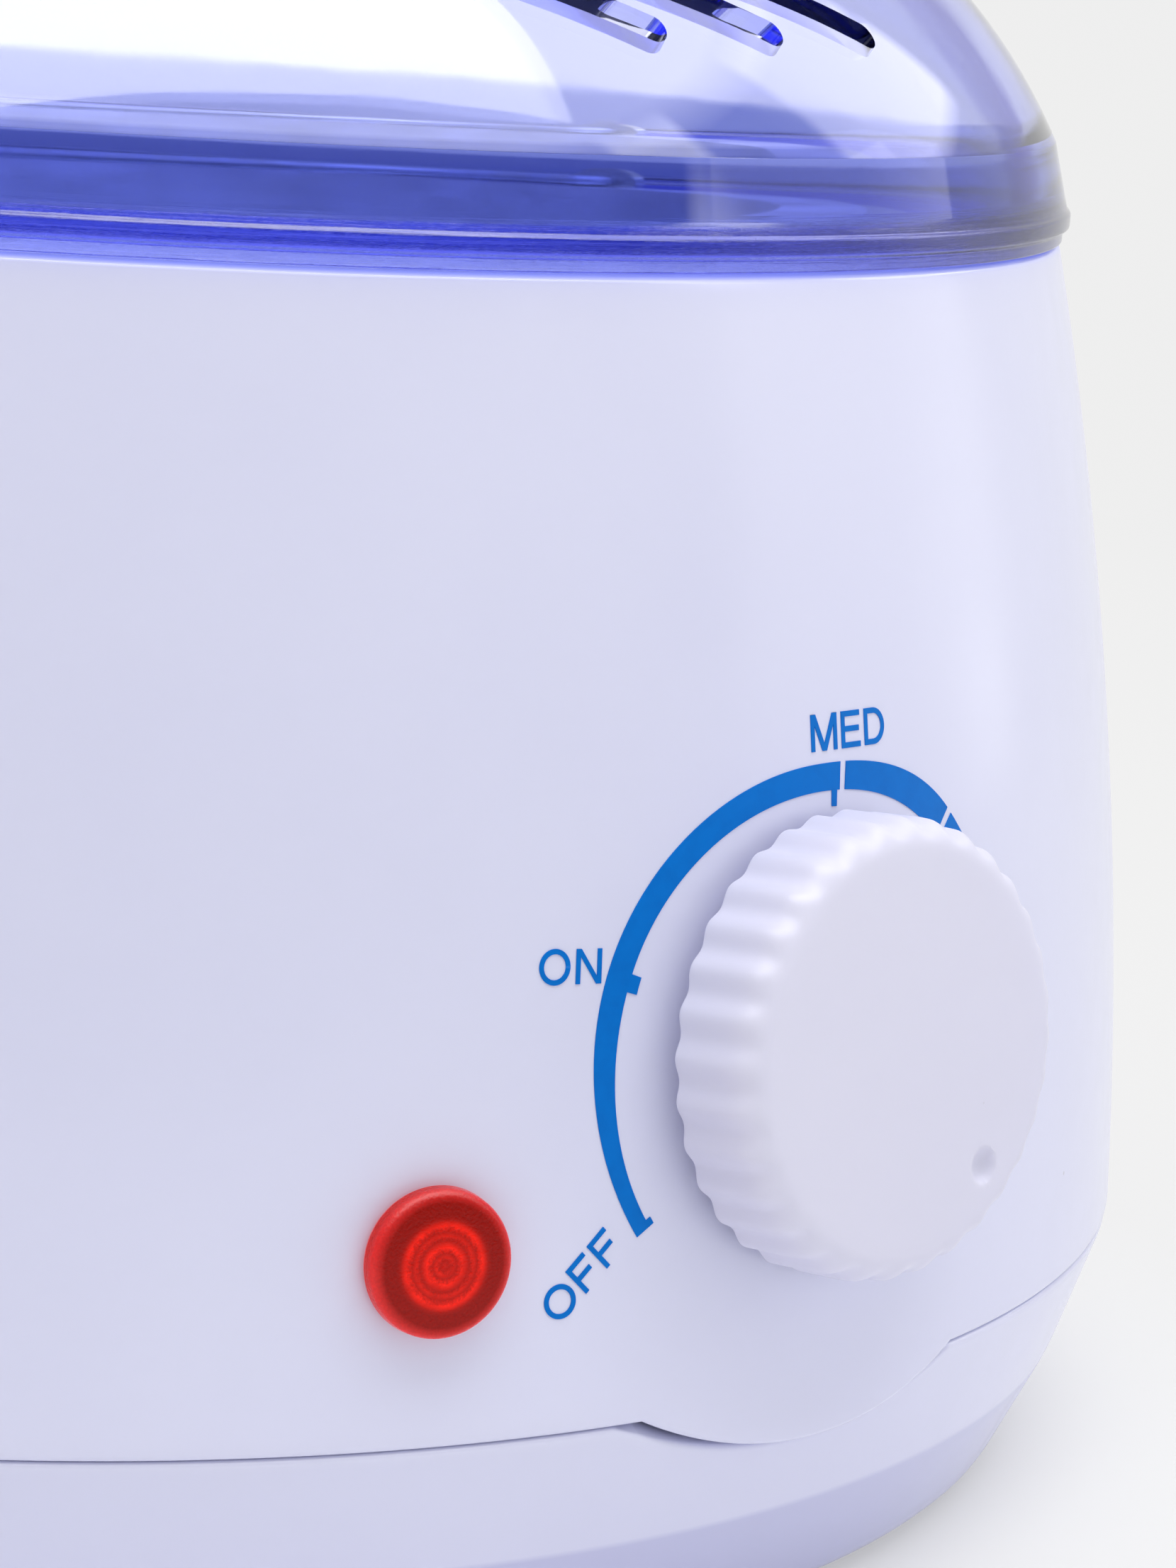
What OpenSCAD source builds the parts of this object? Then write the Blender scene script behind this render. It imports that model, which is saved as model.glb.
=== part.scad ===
// Round tabletop wax bath: a heated well in a two-part housing, a lift-out pot with a bail,
// a domed lid that lifts off, a dial thermostat and a pilot lamp. Millimetres.
// The origin is on the table under the body's axis, +Z is up and the dial faces -Y.

/* [Body] */
// Widest diameter, where the two housings meet
body_d = 180; // [178:0.5:186]
// Height of the joint between the two housings above the table
parting_z = 19.7; // [18:0.1:21]
// Height of the upper housing's rim above the table
rim_z = 95; // [92:0.5:104]
// Outer diameter of the upper housing's rim
rim_d = 159.4; // [158:0.2:163]
// How far the side wall swells out of a straight line
wall_bulge = 1.9; // [1.2:0.1:2.6]
// Wall thickness of both housings
wall = 2.5; // [2.2:0.1:2.8]
// Depth of the deck below the rim
deck_drop = 4; // [3.5:0.1:5]
// Thickness of the deck round the well
deck_t = 2.5; // [2:0.1:3.5]
// How far the base's bottom edge stands in from the widest diameter
base_in = 7.4; // [6:0.1:8]
// How far the soft edge on the base's side stands in from the widest diameter
flange_in = 2.4; // [1.6:0.1:3]
// Height of the soft edge above the table
flange_z = 9.1; // [8:0.1:11]
// Length of the softened stretch at that edge
soft_edge = 3; // [1:0.1:4]
// Thickness of the base's floor
floor_t = 2.5; // [2.2:0.1:3.2]

/* [Dial lobe] */
// Width of the lobe under the dial, along the joint
lobe_w = 31.4; // [26:0.2:38]
// How far the lobe hangs below the joint
lobe_drop = 3.6; // [2:0.1:4]
// Extra width of the base's notch on each side of the lobe
notch_side_play = 1.15; // [1:0.05:2]
// Gap below the lobe
notch_under_play = 0.4; // [0.15:0.05:0.6]
// Sideways offset of the notch
notch_shift = -0.85; // [-0.9:0.05:0.9]

/* [Lid] */
// How far the lid's lip overhangs the rim
lip_over = 1.3; // [0.8:0.1:2.5]
// Height of the lip
lip_h = 1.6; // [1.2:0.1:2.4]
// Height of the ring under the lip
lip_ring_h = 0.9; // [0.6:0.1:1.4]
// Height of the band, from the rim up to the shoulder
band_h = 7.8; // [6:0.1:11]
// How far the shoulder over the band stands in from the rim
shoulder_in = 0.9; // [0.4:0.1:1.4]
// Rise of the dome above the shoulder
dome_rise = 24.2; // [22:0.2:30]
// Radius of the dome's curve
dome_curve_r = 45; // [40:0.5:52]
// Wall thickness of the lid
lid_wall = 2.2; // [1.8:0.1:2.6]
// Depth of the spigot that centres the lid in the rim
spigot_h = 1.6; // [1.2:0.1:2.4]
// Length of the grip
grip_l = 64; // [50:1:72]
// Width of the grip
grip_w = 18; // [14:0.5:24]
// Height of the grip above the dome's flat top
grip_h = 17.8; // [14:0.2:22]
// Slots in each group of vents
vent_count = 3; // [2:1:4]
// Width of a vent slot
vent_w = 2.2; // [1.6:0.1:2.8]
// Length of a vent slot
vent_l = 14; // [8:0.5:18]
// Angle between neighbouring slots about the axis
vent_pitch = 8.7; // [8:0.1:11]
// Angle between a slot and the line up the dome
vent_slant = 67; // [50:1:72]
// Height angle of the slots on the dome's curve
vent_lift = 43; // [40:1:52]
// Turn of the vent groups about the axis
vent_turn = -1.7; // [-8:0.1:8]

/* [Well and pot] */
// Outer diameter of the lift-out pot
pot_d = 118; // [114:0.5:119]
// Sheet thickness of the pot
pot_t = 1.1; // [0.8:0.1:1.4]
// Width of the pot's rim outside its wall
pot_rim_w = 5.8; // [5.6:0.1:6.2]
// Rounding at the bottom of the pot and of the well
pot_round = 8; // [4:0.5:12]
// Sheet thickness of the heating well
well_t = 1.2; // [1:0.1:1.6]
// Radial play between the pot and the well
pot_play = 1.3; // [0.8:0.1:1.6]
// Width of the well's flange outside its wall
well_flange_w = 7.5; // [6.8:0.1:8]
// Thickness of the gasket under the flange
gasket_t = 1; // [0.6:0.1:1.6]
// Wire diameter of the bail
bail_wire = 3; // [2.6:0.1:3.2]
// Radius of the bail's corners
bail_corner_r = 20; // [19:0.5:24]
// Sheet thickness of the bail's ears
ear_t = 1.2; // [1:0.1:1.3]
// Width of the bail's ears
ear_w = 8; // [6:0.2:10]

/* [Dial] */
// Height of the dial's centre
knob_z = 44; // [40:0.5:48]
// Diameter of the dial
knob_d = 31.6; // [27:0.2:32]
// How far the dial's face stands out of the wall
knob_reach = 8.1; // [7.2:0.1:9]
// Gap between the dial's skirt and the wall
knob_gap = 0.6; // [0.4:0.1:1]
// Flutes round the dial
flute_count = 32; // [24:1:40]
// Depth of a flute
flute_depth = 0.5; // [0.3:0.05:0.8]
// Rounding of the dial's front edge
knob_round = 1.6; // [1:0.1:3]
// Distance of the pointer dimple from the dial's centre
dimple_at = 11.4; // [9:0.1:12]
// Diameter of the pointer dimple
dimple_d = 2.4; // [1.8:0.1:3]
// Direction of the pointer at its highest setting
dimple_angle = -50; // [-60:1:0]
// Diameter of the thermostat's shaft
shaft_d = 6; // [5:0.1:6.4]
// Width of the thermostat
thermostat_w = 26; // [22:0.5:28]
// Height of the thermostat
thermostat_h = 22; // [18:0.5:23]
// Depth of the thermostat behind its seat
thermostat_depth = 13; // [12:0.5:16]

/* [Lamp] */
// Height of the lamp's centre
lamp_z = 32.4; // [31:0.1:40]
// Place of the lamp round the body, from the dial
lamp_turn = -20.6; // [-26:0.2:-19]
// Diameter of the lamp's lens
lamp_d = 10; // [8.6:0.2:11]
// How far the lens stands out of the wall
lamp_reach = 2.1; // [1.6:0.1:3]
// Diameter of the lens's stem in the wall
lamp_stem_d = 7.8; // [7:0.1:8]
// Diameter of the bulb in the stem
bulb_d = 5; // [4:0.1:5.4]

/* [Heater] */
// Free height under the heater for the wiring
under_space = 13.5; // [13:0.5:15]
// Diameter of the heater disc
heater_d = 92; // [84:1:94]
// Thickness of the heater disc
heater_t = 2; // [1.6:0.1:3]
// Thickness of the insulation under it
insulation_t = 4; // [3:0.2:5]
// Thickness of the clamp plate
plate_t = 1; // [0.8:0.1:1.6]
// Thickness of the insulation round the well
wrap_t = 2; // [1.4:0.1:2.4]
// Diameter of the thermal fuse
fuse_d = 4; // [3.4:0.1:4.4]
// Length of the thermal fuse
fuse_l = 12; // [10:0.5:14]
// Diameter of the wires
wire_d = 1.8; // [1.4:0.1:2]

/* [Base fittings] */
// Height of the feet below the base
foot_h = 1; // [0.8:0.1:1.6]
// Diameter of a foot
foot_d = 14; // [10:0.5:16]
// Distance of the feet from the axis
foot_at = 68; // [64:0.5:70]
// Diameter of the screws' shanks
screw_d = 2.9; // [2.6:0.1:3.2]
// Distance of the base's screws from the axis
screw_at = 77; // [76:0.2:77.4]
// Bore of the cord gland
gland_bore_d = 7.2; // [6:0.1:7.4]
// Diameter of the gland's threaded neck
gland_neck_d = 10; // [9.4:0.1:10.4]
// Reach of the gland out of its boss on the base
gland_reach = 6.2; // [5:0.1:9]
// Width of the terminal block
block_w = 26; // [22:1:32]
// Depth of the terminal block
block_depth = 14; // [10:1:16]
// Height of the terminal block
block_h = 10; // [9:0.5:11]
// Distance of the terminal block from the base's edge
block_in = 17.6; // [16:0.2:22]

/* [Clearances] */
// Gap under a piece that lifts off its seat
seat_gap = 0.2; // [0.1:0.05:0.3]
// Gap between pieces that move past each other
run_gap = 0.3; // [0.2:0.05:0.4]
// Radial gap of a turning shaft or pin in its hole
shaft_gap = 0.1; // [0.05:0.01:0.15]
// Gap round fixed pieces
fit_gap = 0.05; // [0.02:0.01:0.1]
// Gap of the joint line between the housings
seam_gap = 0.25; // [0.15:0.05:0.4]
// Radial gap of a fixed piece or a screw in its hole
hole_gap = 0.25; // [0.1:0.05:0.35]

/* [Hidden] */
$fn = 96;

white_plastic = [0.90, 0.91, 0.95];
violet_plastic = [0.45, 0.48, 0.90, 0.6];
aluminium = [0.78, 0.79, 0.81];
steel = [0.70, 0.71, 0.73];
black_plastic = [0.12, 0.12, 0.13];
body_r = body_d / 2;
rim_r = rim_d / 2;
floor_z = foot_h + floor_t;
base_r = body_r - base_in;
side_wall = 1.15 * wall;
// Overshoot of a cut past the face that it opens
cut = 1;

// The side wall is one arc from the joint to the rim, bulging outwards
chord = [rim_r - body_r, rim_z - parting_z];
chord_l = norm(chord);
wall_curve_r = (pow(chord_l / 2, 2) + pow(wall_bulge, 2)) / (2 * wall_bulge);
wall_mid = [body_r + rim_r, parting_z + rim_z] / 2;
wall_c = wall_mid - [chord[1], -chord[0]] / chord_l * (wall_curve_r - wall_bulge);
function wall_r(z, depth = 0) = wall_c[0] + sqrt(pow(wall_curve_r - depth, 2) - pow(z - wall_c[1], 2));
function wall_tilt(z) = asin((z - wall_c[1]) / wall_curve_r);
function wall_line(z0, z1, depth = 0, steps = 16) =
    [for (i = [0 : steps]) let (z = z0 + (z1 - z0) * i / steps) [wall_r(z, depth), z]];

// A corner of an outline, softened over a length on each side
function unit(v) = v / norm(v);
function bend(a, b, c, len, steps = 6) =
    let (p = b + unit(a - b) * len, q = b + unit(c - b) * len)
    [for (i = [0 : steps]) let (t = i / steps) p * (1 - t) * (1 - t) + b * 2 * t * (1 - t) + q * t * t];

// Places children on the outside of the side wall, with +Z out of the wall and +Y up it
module on_wall(turn, z) {
    rotate([0, 0, turn]) translate([0, -wall_r(z), z]) rotate([90 - wall_tilt(z), 0, 0]) children();
}
// The same place for a point
function spin(p, a) = [p[0] * cos(a) - p[1] * sin(a), p[0] * sin(a) + p[1] * cos(a), p[2]];
function wall_point(turn, z, p) =
    let (t = wall_tilt(z))
    spin([p[0], -wall_r(z) + p[1] * sin(t) - p[2] * cos(t), z + p[1] * cos(t) + p[2] * sin(t)], turn);

// Copies children round the axis at a distance from it
module around(turns, at) {
    for (a = turns) rotate([0, 0, a]) translate([0, -at, 0]) children();
}
module tube(r, bore_r, h) {
    difference() {
        cylinder(r = r, h = h);
        translate([0, 0, -1]) cylinder(r = bore_r, h = h + 2);
    }
}
// A flat bar with round ends along X
module stadium(len, width) {
    square([len - width, width], center = true);
    for (s = [-1, 1]) translate([s * (len - width) / 2, 0]) circle(d = width);
}
module hexagon(across) {
    circle(d = across / cos(30), $fn = 6);
}

// Heights, from the rim down to the pot's seat and from the floor up to the well
deck_z = rim_z - deck_drop;
well_flange_z = deck_z + gasket_t;
pot_rim_z = well_flange_z + well_t + seat_gap;
pot_rim_top = pot_rim_z + pot_t;
nut_h = 3.2;
plate_z = floor_z + under_space + nut_h;
insulation_z = plate_z + plate_t;
heater_z = insulation_z + insulation_t;
well_z = heater_z + heater_t;
pot_z = well_z + well_t + seat_gap;

// Radii, from the pot outwards
pot_r = pot_d / 2;
pot_rim_r = pot_r + pot_rim_w;
well_r = pot_r + pot_play + well_t;
deck_hole_r = well_r + 2 * hole_gap;
well_flange_r = well_r + well_flange_w;
gasket_in = 0.5;
rim_in_r = wall_r(rim_z, wall);
boss_wall = 2.4;
rib_angle = 1.2;

// Flush screws that hold the well's flange on the deck, under the pot's rim
well_screw_turns = [60, 180, 300];
well_screw_head_d = 4.4;
well_screw_head_h = (well_screw_head_d - screw_d) / 2;
well_screw_edge = 1;
well_screw_at = well_flange_r - well_screw_head_d / 2 - well_screw_edge;
well_screw_depth = 7;
well_boss_h = 6;
well_boss_r = screw_d / 2 + boss_wall / 2;
cross_w = 0.7;
cross_depth = 0.5;

// Joint between the housings
tongue_t = 2.2;
tongue_h = 14;
tongue_r = wall_r(parting_z, wall) - 2 * run_gap;
lobe_z = parting_z - lobe_drop;
function arc_r(width, drop) = (pow(width / 2, 2) + pow(drop, 2)) / (2 * drop);
module front_disc(width, drop, shift) {
    r = arc_r(width, drop);
    translate([shift, 0, parting_z - drop + r]) rotate([90, 0, 0]) cylinder(r = r, h = body_d);
}

// Screws up through the base into the upper housing
screw_turns = [50, 130, 230, 310];
screw_head_d = 6;
screw_head_h = 2.6;
screw_drop = 7;
screw_bite = 12;
screw_seat_z = parting_z - screw_drop;
screw_top_z = parting_z + screw_bite;
tower_wall = 1.1;
tower_r = screw_head_d / 2 + 2 * hole_gap + tower_wall;
tower_past = 1;
tower_z = parting_z + tower_past;
rib_foot_z = tower_z + screw_bite / 2;
screw_boss_r = screw_d / 2 + boss_wall;

// Lid heights and the centre of the dome's curve
lid_z = rim_z + seat_gap;
lip_r = rim_r + lip_over;
lip_ring_r = rim_r + seat_gap;
lip_edge = 0.3;
lip_bevel = 0.7;
shoulder = [rim_r - shoulder_in, rim_z + band_h];
lid_top = shoulder[1] + dome_rise;
dome_reach = sqrt(pow(dome_curve_r, 2) - pow(dome_curve_r - dome_rise, 2));
dome_c = [shoulder[0] - dome_reach, lid_top - dome_curve_r];
lid_in_top = lid_top - lid_wall;
shoulder_angle = asin((shoulder[1] - dome_c[1]) / dome_curve_r);
spigot_r = rim_in_r - run_gap - seat_gap;
band_in_r = dome_c[0] + sqrt(pow(dome_curve_r - lid_wall, 2) - pow(shoulder[1] - dome_c[1], 2));
function dome_line(r, a0, a1, steps = 14) =
    [for (i = [0 : steps]) let (a = a0 + (a1 - a0) * i / steps) dome_c + r * [cos(a), sin(a)]];

// Bail and ears
bail_r = bail_wire / 2;
bail_z = pot_rim_top + bail_r + run_gap;
ear_in = 1;
bail_head = 0.8;
bail_x = pot_rim_r - ear_in - ear_t - run_gap - bail_r;
bail_h = lid_in_top - bail_z - bail_r - bail_head;
bail_leg = bail_h - bail_corner_r;
ear_x = bail_x + bail_r + run_gap;

// Dial, along the line out of the wall
knob_r = knob_d / 2;
knob_recess_r = 8;
knob_recess = 2.6;
knob_crown = 0.5;
shaft_r = shaft_d / 2;
shaft_flat = 0.75 * shaft_r;
bushing_r = shaft_r + 1;
nut_rim = 1.5;
nut_across = 2 * (bushing_r + nut_rim);
thermostat_nut_t = 2.2;
pad_t = 1.6;
thermostat_seat = wall + pad_t;
thermostat_pad_r = bushing_r + 5;
shaft_in = thermostat_seat + 8;
knob_face_t = 1.5;
shaft_out = knob_reach - knob_face_t;
tab_w = 6.3;
tab_l = 7;
tab_t = 0.8;
tab_x = 6.2;
tab_depth = thermostat_seat + 6;

// Lamp, along the line out of the wall
lamp_stem_r = lamp_stem_d / 2;
lamp_stem_l = wall + 4.5;
bulb_in = lamp_stem_l + 6;
lens_bevel = 1;
lens_crown = 0.3;
clip_t = 0.8;
clip_w = 2.2;

// Gland and terminal block at the back
gland_z = (foot_h + parting_z) / 2;
gland_neck_r = gland_neck_d / 2;
gland_flange_r = gland_neck_r + 2.4;
gland_boss_r = gland_neck_r + 3.1;
gland_boss_in = base_r - side_wall + floor_t / 2 - 2 * hole_gap;
gland_boss_out = body_r + 1;
gland_end = gland_boss_out + gland_reach;
gland_collar = 2;
gland_bevel = 0.6;
gland_nut_t = 3;
block_y = base_r - block_in - block_depth;
// Places of the block's screws, as shares of its width
block_ways = [-0.32, 0, 0.32];
block_screw_d = 3.4;
block_screw_h = 2.2;
block_well = 3;

// Air slots in the floor, and the feet
floor_slot_l = 20;
floor_slot_w = 3;
floor_slot_at = 38;
floor_slot_turns = [15 : 30 : 345];
foot_turns = [0, 90, 180, 270];
foot_play = 0.2;
foot_sink = floor_t / 2;

heater_tab_turns = [110, -110];
heater_tab_at = heater_d / 2 + 8;
heater_tab_l = 10;
stud_r = 2;
stud_hole_r = stud_r + cut;
stud_past = 1.5;
stud_nut_rim = 1.5;
plate_over = 2;
wrap_clear = 1;
fuse_in = 10;
fuse_x = 14;
fuse_y = fuse_in - heater_d / 2;
fuse_z = plate_z - fuse_d / 2 - seat_gap;
clip_wall = 1;
clip_l = 4;

// Wires: the gap at their ends and the height at which they run over the floor
wire_gap = 0.5;
low = floor_z + 4.5;

module upper_housing() {
    outline = concat(wall_line(lobe_z - cut, rim_z),
        [[rim_in_r, rim_z], [rim_in_r, deck_z], [deck_hole_r, deck_z], [deck_hole_r, deck_z - deck_t]],
        wall_line(deck_z - deck_t, lobe_z - cut, wall));
    rib_top = deck_z - deck_t / 2;
    rib = concat([[screw_at, rib_foot_z]], wall_line(rib_foot_z, rib_top, wall / 2), [[screw_at, rib_top]]);
    color(white_plastic) difference() {
        union() {
            difference() {
                rotate_extrude() polygon(outline);
                difference() {
                    translate([0, 0, lobe_z - 2 * cut]) cylinder(r = body_d, h = lobe_drop + 2 * cut);
                    front_disc(lobe_w, lobe_drop, 0);
                }
            }
            on_wall(0, knob_z) translate([0, 0, -thermostat_seat])
                cylinder(r = thermostat_pad_r, h = thermostat_seat - wall / 2);
            around(screw_turns, screw_at) translate([0, 0, tower_z])
                cylinder(r = screw_boss_r, h = deck_z - deck_t / 2 - tower_z);
            for (a = screw_turns) rotate([0, 0, a - 90 - rib_angle / 2])
                rotate_extrude(angle = rib_angle) polygon(rib);
            around(well_screw_turns, well_screw_at) translate([0, 0, deck_z - deck_t - well_boss_h])
                cylinder(r = well_boss_r, h = well_boss_h + deck_t / 2);
        }
        on_wall(0, knob_z) translate([0, 0, -thermostat_seat - cut])
            cylinder(r = bushing_r + hole_gap, h = thermostat_seat + wall);
        on_wall(lamp_turn, lamp_z) translate([0, 0, -wall - 2 * cut])
            cylinder(r = lamp_stem_r + hole_gap, h = wall + 4 * cut);
        around(screw_turns, screw_at) translate([0, 0, tower_z - cut])
            cylinder(r = screw_d / 2 + fit_gap, h = screw_top_z - tower_z + 2 * cut);
        around(well_screw_turns, well_screw_at) translate([0, 0, deck_z - well_screw_depth - cut])
            cylinder(r = screw_d / 2 + fit_gap, h = well_screw_depth + 2 * cut);
    }
}

module base_housing() {
    top_z = parting_z - seam_gap;
    foot_edge = [base_r, foot_h];
    soft = [body_r - flange_in, flange_z];
    top = [body_r, top_z];
    outline = concat([[0, foot_h], foot_edge], bend(foot_edge, soft, top, soft_edge),
        [top, top - [wall, 0], soft - [side_wall, 0]],
        [foot_edge - [side_wall - floor_t / 2, -floor_t], [0, floor_z]]);
    color(white_plastic) difference() {
        union() {
            difference() {
                rotate_extrude() polygon(outline);
                difference() {
                    front_disc(lobe_w + 2 * notch_side_play, lobe_drop + notch_under_play, notch_shift);
                    cylinder(r = tongue_r, h = rim_z);
                }
            }
            translate([0, 0, flange_z + tongue_t / 2]) tube(tongue_r, tongue_r - tongue_t, tongue_h);
            around(screw_turns, screw_at) translate([0, 0, foot_h + floor_t / 2])
                cylinder(r = tower_r, h = tower_z - foot_h - floor_t / 2);
            translate([0, gland_boss_in, gland_z]) rotate([-90, 0, 0])
                cylinder(r = gland_boss_r, h = gland_boss_out - gland_boss_in);
        }
        around(screw_turns, screw_at) {
            translate([0, 0, -cut]) cylinder(r = screw_head_d / 2 + 2 * hole_gap, h = screw_seat_z + cut);
            cylinder(r = screw_d / 2 + hole_gap, h = rim_z);
        }
        around(foot_turns, foot_at) cylinder(r = foot_d / 2 + foot_play, h = foot_h + foot_sink);
        translate([0, gland_boss_in - 2 * cut, gland_z]) rotate([-90, 0, 0])
            cylinder(r = gland_neck_r + hole_gap, h = body_d);
        for (a = floor_slot_turns) rotate([0, 0, a]) translate([floor_slot_at, 0, 0])
            linear_extrude(floor_z + cut) stadium(floor_slot_l, floor_slot_w);
    }
}

module grip(len, width, top) {
    grip_root = lid_in_top - lid_wall / 4;
    translate([0, 0, grip_root]) linear_extrude(top - grip_root) stadium(len, width);
}

module lid() {
    lip_z = lid_z + lip_ring_h;
    vent_at = dome_c + dome_curve_r * [cos(vent_lift), sin(vent_lift)];
    outline = concat(
        [[spigot_r - lid_wall, lid_z - spigot_h], [spigot_r, lid_z - spigot_h], [spigot_r, lid_z]],
        [[lip_ring_r, lid_z], [lip_ring_r, lip_z], [lip_r, lip_z + lip_edge]],
        [[lip_r, lip_z + lip_h - lip_edge], [lip_r - lip_bevel, lip_z + lip_h]],
        dome_line(dome_curve_r, shoulder_angle, 90),
        [[0, lid_top], [0, lid_in_top]],
        dome_line(dome_curve_r - lid_wall, 90, asin((shoulder[1] - dome_c[1]) / (dome_curve_r - lid_wall))),
        [[band_in_r, lip_z + lip_h], [spigot_r - lid_wall, lid_z + lip_ring_h]]);
    color(violet_plastic) difference() {
        union() {
            rotate_extrude() polygon(outline);
            grip(grip_l, grip_w, lid_top + grip_h);
        }
        translate([0, 0, -cut])
            grip(grip_l - 2 * lid_wall, grip_w - 2 * lid_wall, lid_top + grip_h - lid_wall + cut);
        for (side = [0, 180], i = [0 : vent_count - 1])
            rotate([0, 0, side + vent_turn + (i - (vent_count - 1) / 2) * vent_pitch])
                translate([0, -vent_at[0], vent_at[1]])
                rotate([90 - vent_lift, 0, 0]) rotate([0, 0, vent_slant - 90])
                translate([0, 0, -2 * lid_wall]) linear_extrude(4 * lid_wall) stadium(vent_l, vent_w);
    }
}

// A sheet cup with a flat flange
module cup(r, t, z, rim_bottom, flange_r) {
    outer = bend([0, z], [r, z], [r, rim_bottom], pot_round);
    inner = bend([r - t, rim_bottom], [r - t, z + t], [0, z + t], pot_round - t / 2);
    rotate_extrude() polygon(concat([[0, z]], outer,
        [[r, rim_bottom], [flange_r, rim_bottom], [flange_r, rim_bottom + t], [r - t, rim_bottom + t]],
        inner, [[0, z + t]]));
}

// The cone of a flush screw head, or with a gap the countersink for it
module flush_head(gap = 0) {
    cylinder(r1 = screw_d / 2 + gap, r2 = well_screw_head_d / 2 + gap, h = well_screw_head_h);
}

module heating_well() {
    color(aluminium) difference() {
        cup(well_r, well_t, well_z, well_flange_z, well_flange_r);
        around(well_screw_turns, well_screw_at) translate([0, 0, well_flange_z - cut]) {
            cylinder(r = screw_d / 2 + hole_gap, h = well_t + 2 * cut);
            translate([0, 0, cut + well_t - well_screw_head_h]) flush_head(hole_gap);
        }
    }
}

module well_gasket() {
    color([0.75, 0.30, 0.22]) difference() {
        translate([0, 0, deck_z]) tube(well_flange_r - gasket_in, deck_hole_r + gasket_in, gasket_t);
        around(well_screw_turns, well_screw_at) translate([0, 0, deck_z - cut])
            cylinder(r = screw_d / 2 + hole_gap, h = gasket_t + 2 * cut);
    }
}

module well_screws() {
    top_z = well_flange_z + well_t;
    color(steel) around(well_screw_turns, well_screw_at) difference() {
        union() {
            translate([0, 0, top_z - well_screw_head_h]) flush_head();
            translate([0, 0, deck_z - well_screw_depth])
                cylinder(d = screw_d, h = top_z - well_screw_head_h - deck_z + well_screw_depth);
        }
        for (a = [0, 90]) rotate([0, 0, a]) translate([0, 0, top_z])
            cube([0.65 * well_screw_head_d, cross_w, 2 * cross_depth], center = true);
    }
}

module wax_pot() {
    color(aluminium) cup(pot_r, pot_t, pot_z, pot_rim_z, pot_rim_r);
}

module pot_ears() {
    color(steel) for (s = [0, 180]) rotate([0, 0, s]) difference() {
        union() {
            translate([ear_x, -ear_w / 2, pot_rim_top]) cube([ear_t, ear_w, bail_z - pot_rim_top]);
            translate([ear_x, 0, bail_z]) rotate([0, 90, 0]) cylinder(d = ear_w, h = ear_t);
        }
        translate([ear_x - cut, 0, bail_z]) rotate([0, 90, 0])
            cylinder(r = bail_r + shaft_gap, h = ear_t + 2 * cut);
        translate([ear_x - cut, -ear_w, pot_rim_top - ear_w]) cube([ear_t + 2 * cut, 2 * ear_w, ear_w]);
    }
}

// The bail lies folded towards the back, on the pot's rim
module pot_bail() {
    color(steel) translate([0, 0, bail_z]) for (s = [0, 1]) mirror([s, 0, 0]) {
        translate([bail_x, 0, 0]) sphere(r = bail_r);
        translate([bail_x, 0, 0]) rotate([0, 90, 0]) cylinder(r = bail_r, h = pot_rim_r - bail_x);
        translate([bail_x, 0, 0]) rotate([-90, 0, 0]) cylinder(r = bail_r, h = bail_leg);
        translate([bail_x - bail_corner_r, bail_leg, 0]) rotate_extrude(angle = 90)
            translate([bail_corner_r, 0]) circle(r = bail_r);
        translate([0, bail_h, 0]) rotate([0, 90, 0]) cylinder(r = bail_r, h = bail_x - bail_corner_r);
    }
}

module knob() {
    flute_r = PI * knob_r / flute_count;
    skirt = concat([[0, knob_gap], [knob_r, knob_gap]],
        bend([knob_r, knob_gap], [knob_r, knob_reach - knob_crown], [0, knob_reach], knob_round),
        [[0, knob_reach]]);
    color(white_plastic) on_wall(0, knob_z) difference() {
        rotate_extrude() polygon(skirt);
        for (i = [0 : flute_count - 1]) rotate([0, 0, 360 / flute_count * i])
            translate([knob_r + flute_r - flute_depth, 0, knob_gap - cut])
            cylinder(r = flute_r, h = knob_reach - knob_gap - knob_round + cut, $fn = 24);
        translate([0, 0, knob_gap - cut]) cylinder(r = knob_recess_r, h = knob_recess + cut);
        shaft_section(shaft_r + fit_gap, 0, shaft_out + seat_gap, shaft_flat + fit_gap);
        rotate([0, 0, dimple_angle]) translate([dimple_at, 0, knob_reach + dimple_d / 4])
            sphere(d = dimple_d);
    }
}

// A round bar along Z with one flat
module shaft_section(r, z0, z1, flat) {
    intersection() {
        translate([0, 0, z0]) cylinder(r = r, h = z1 - z0);
        translate([-2 * r, -2 * r, z0 - cut]) cube([4 * r, 2 * r + flat, z1 - z0 + 2 * cut]);
    }
}

module thermostat_shaft() {
    color(steel) on_wall(0, knob_z) {
        translate([0, 0, -shaft_in]) cylinder(r = shaft_r, h = shaft_in + knob_gap + knob_recess);
        shaft_section(shaft_r, knob_gap + knob_recess, shaft_out, shaft_flat);
    }
}

module thermostat_body() {
    color(black_plastic) on_wall(0, knob_z) difference() {
        union() {
            translate([-thermostat_w / 2, -thermostat_h / 2, -thermostat_seat - thermostat_depth])
                cube([thermostat_w, thermostat_h, thermostat_depth]);
            translate([0, 0, -thermostat_seat - cut])
                cylinder(r = bushing_r, h = thermostat_seat + cut + knob_recess);
            for (x = [-tab_x, tab_x])
                translate([x - tab_w / 2, -thermostat_h / 2 - tab_l, -tab_depth - tab_t / 2])
                cube([tab_w, tab_l + cut, tab_t]);
        }
        translate([0, 0, -shaft_in - fit_gap]) cylinder(r = shaft_r + shaft_gap, h = shaft_in + knob_reach);
    }
}

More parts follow.
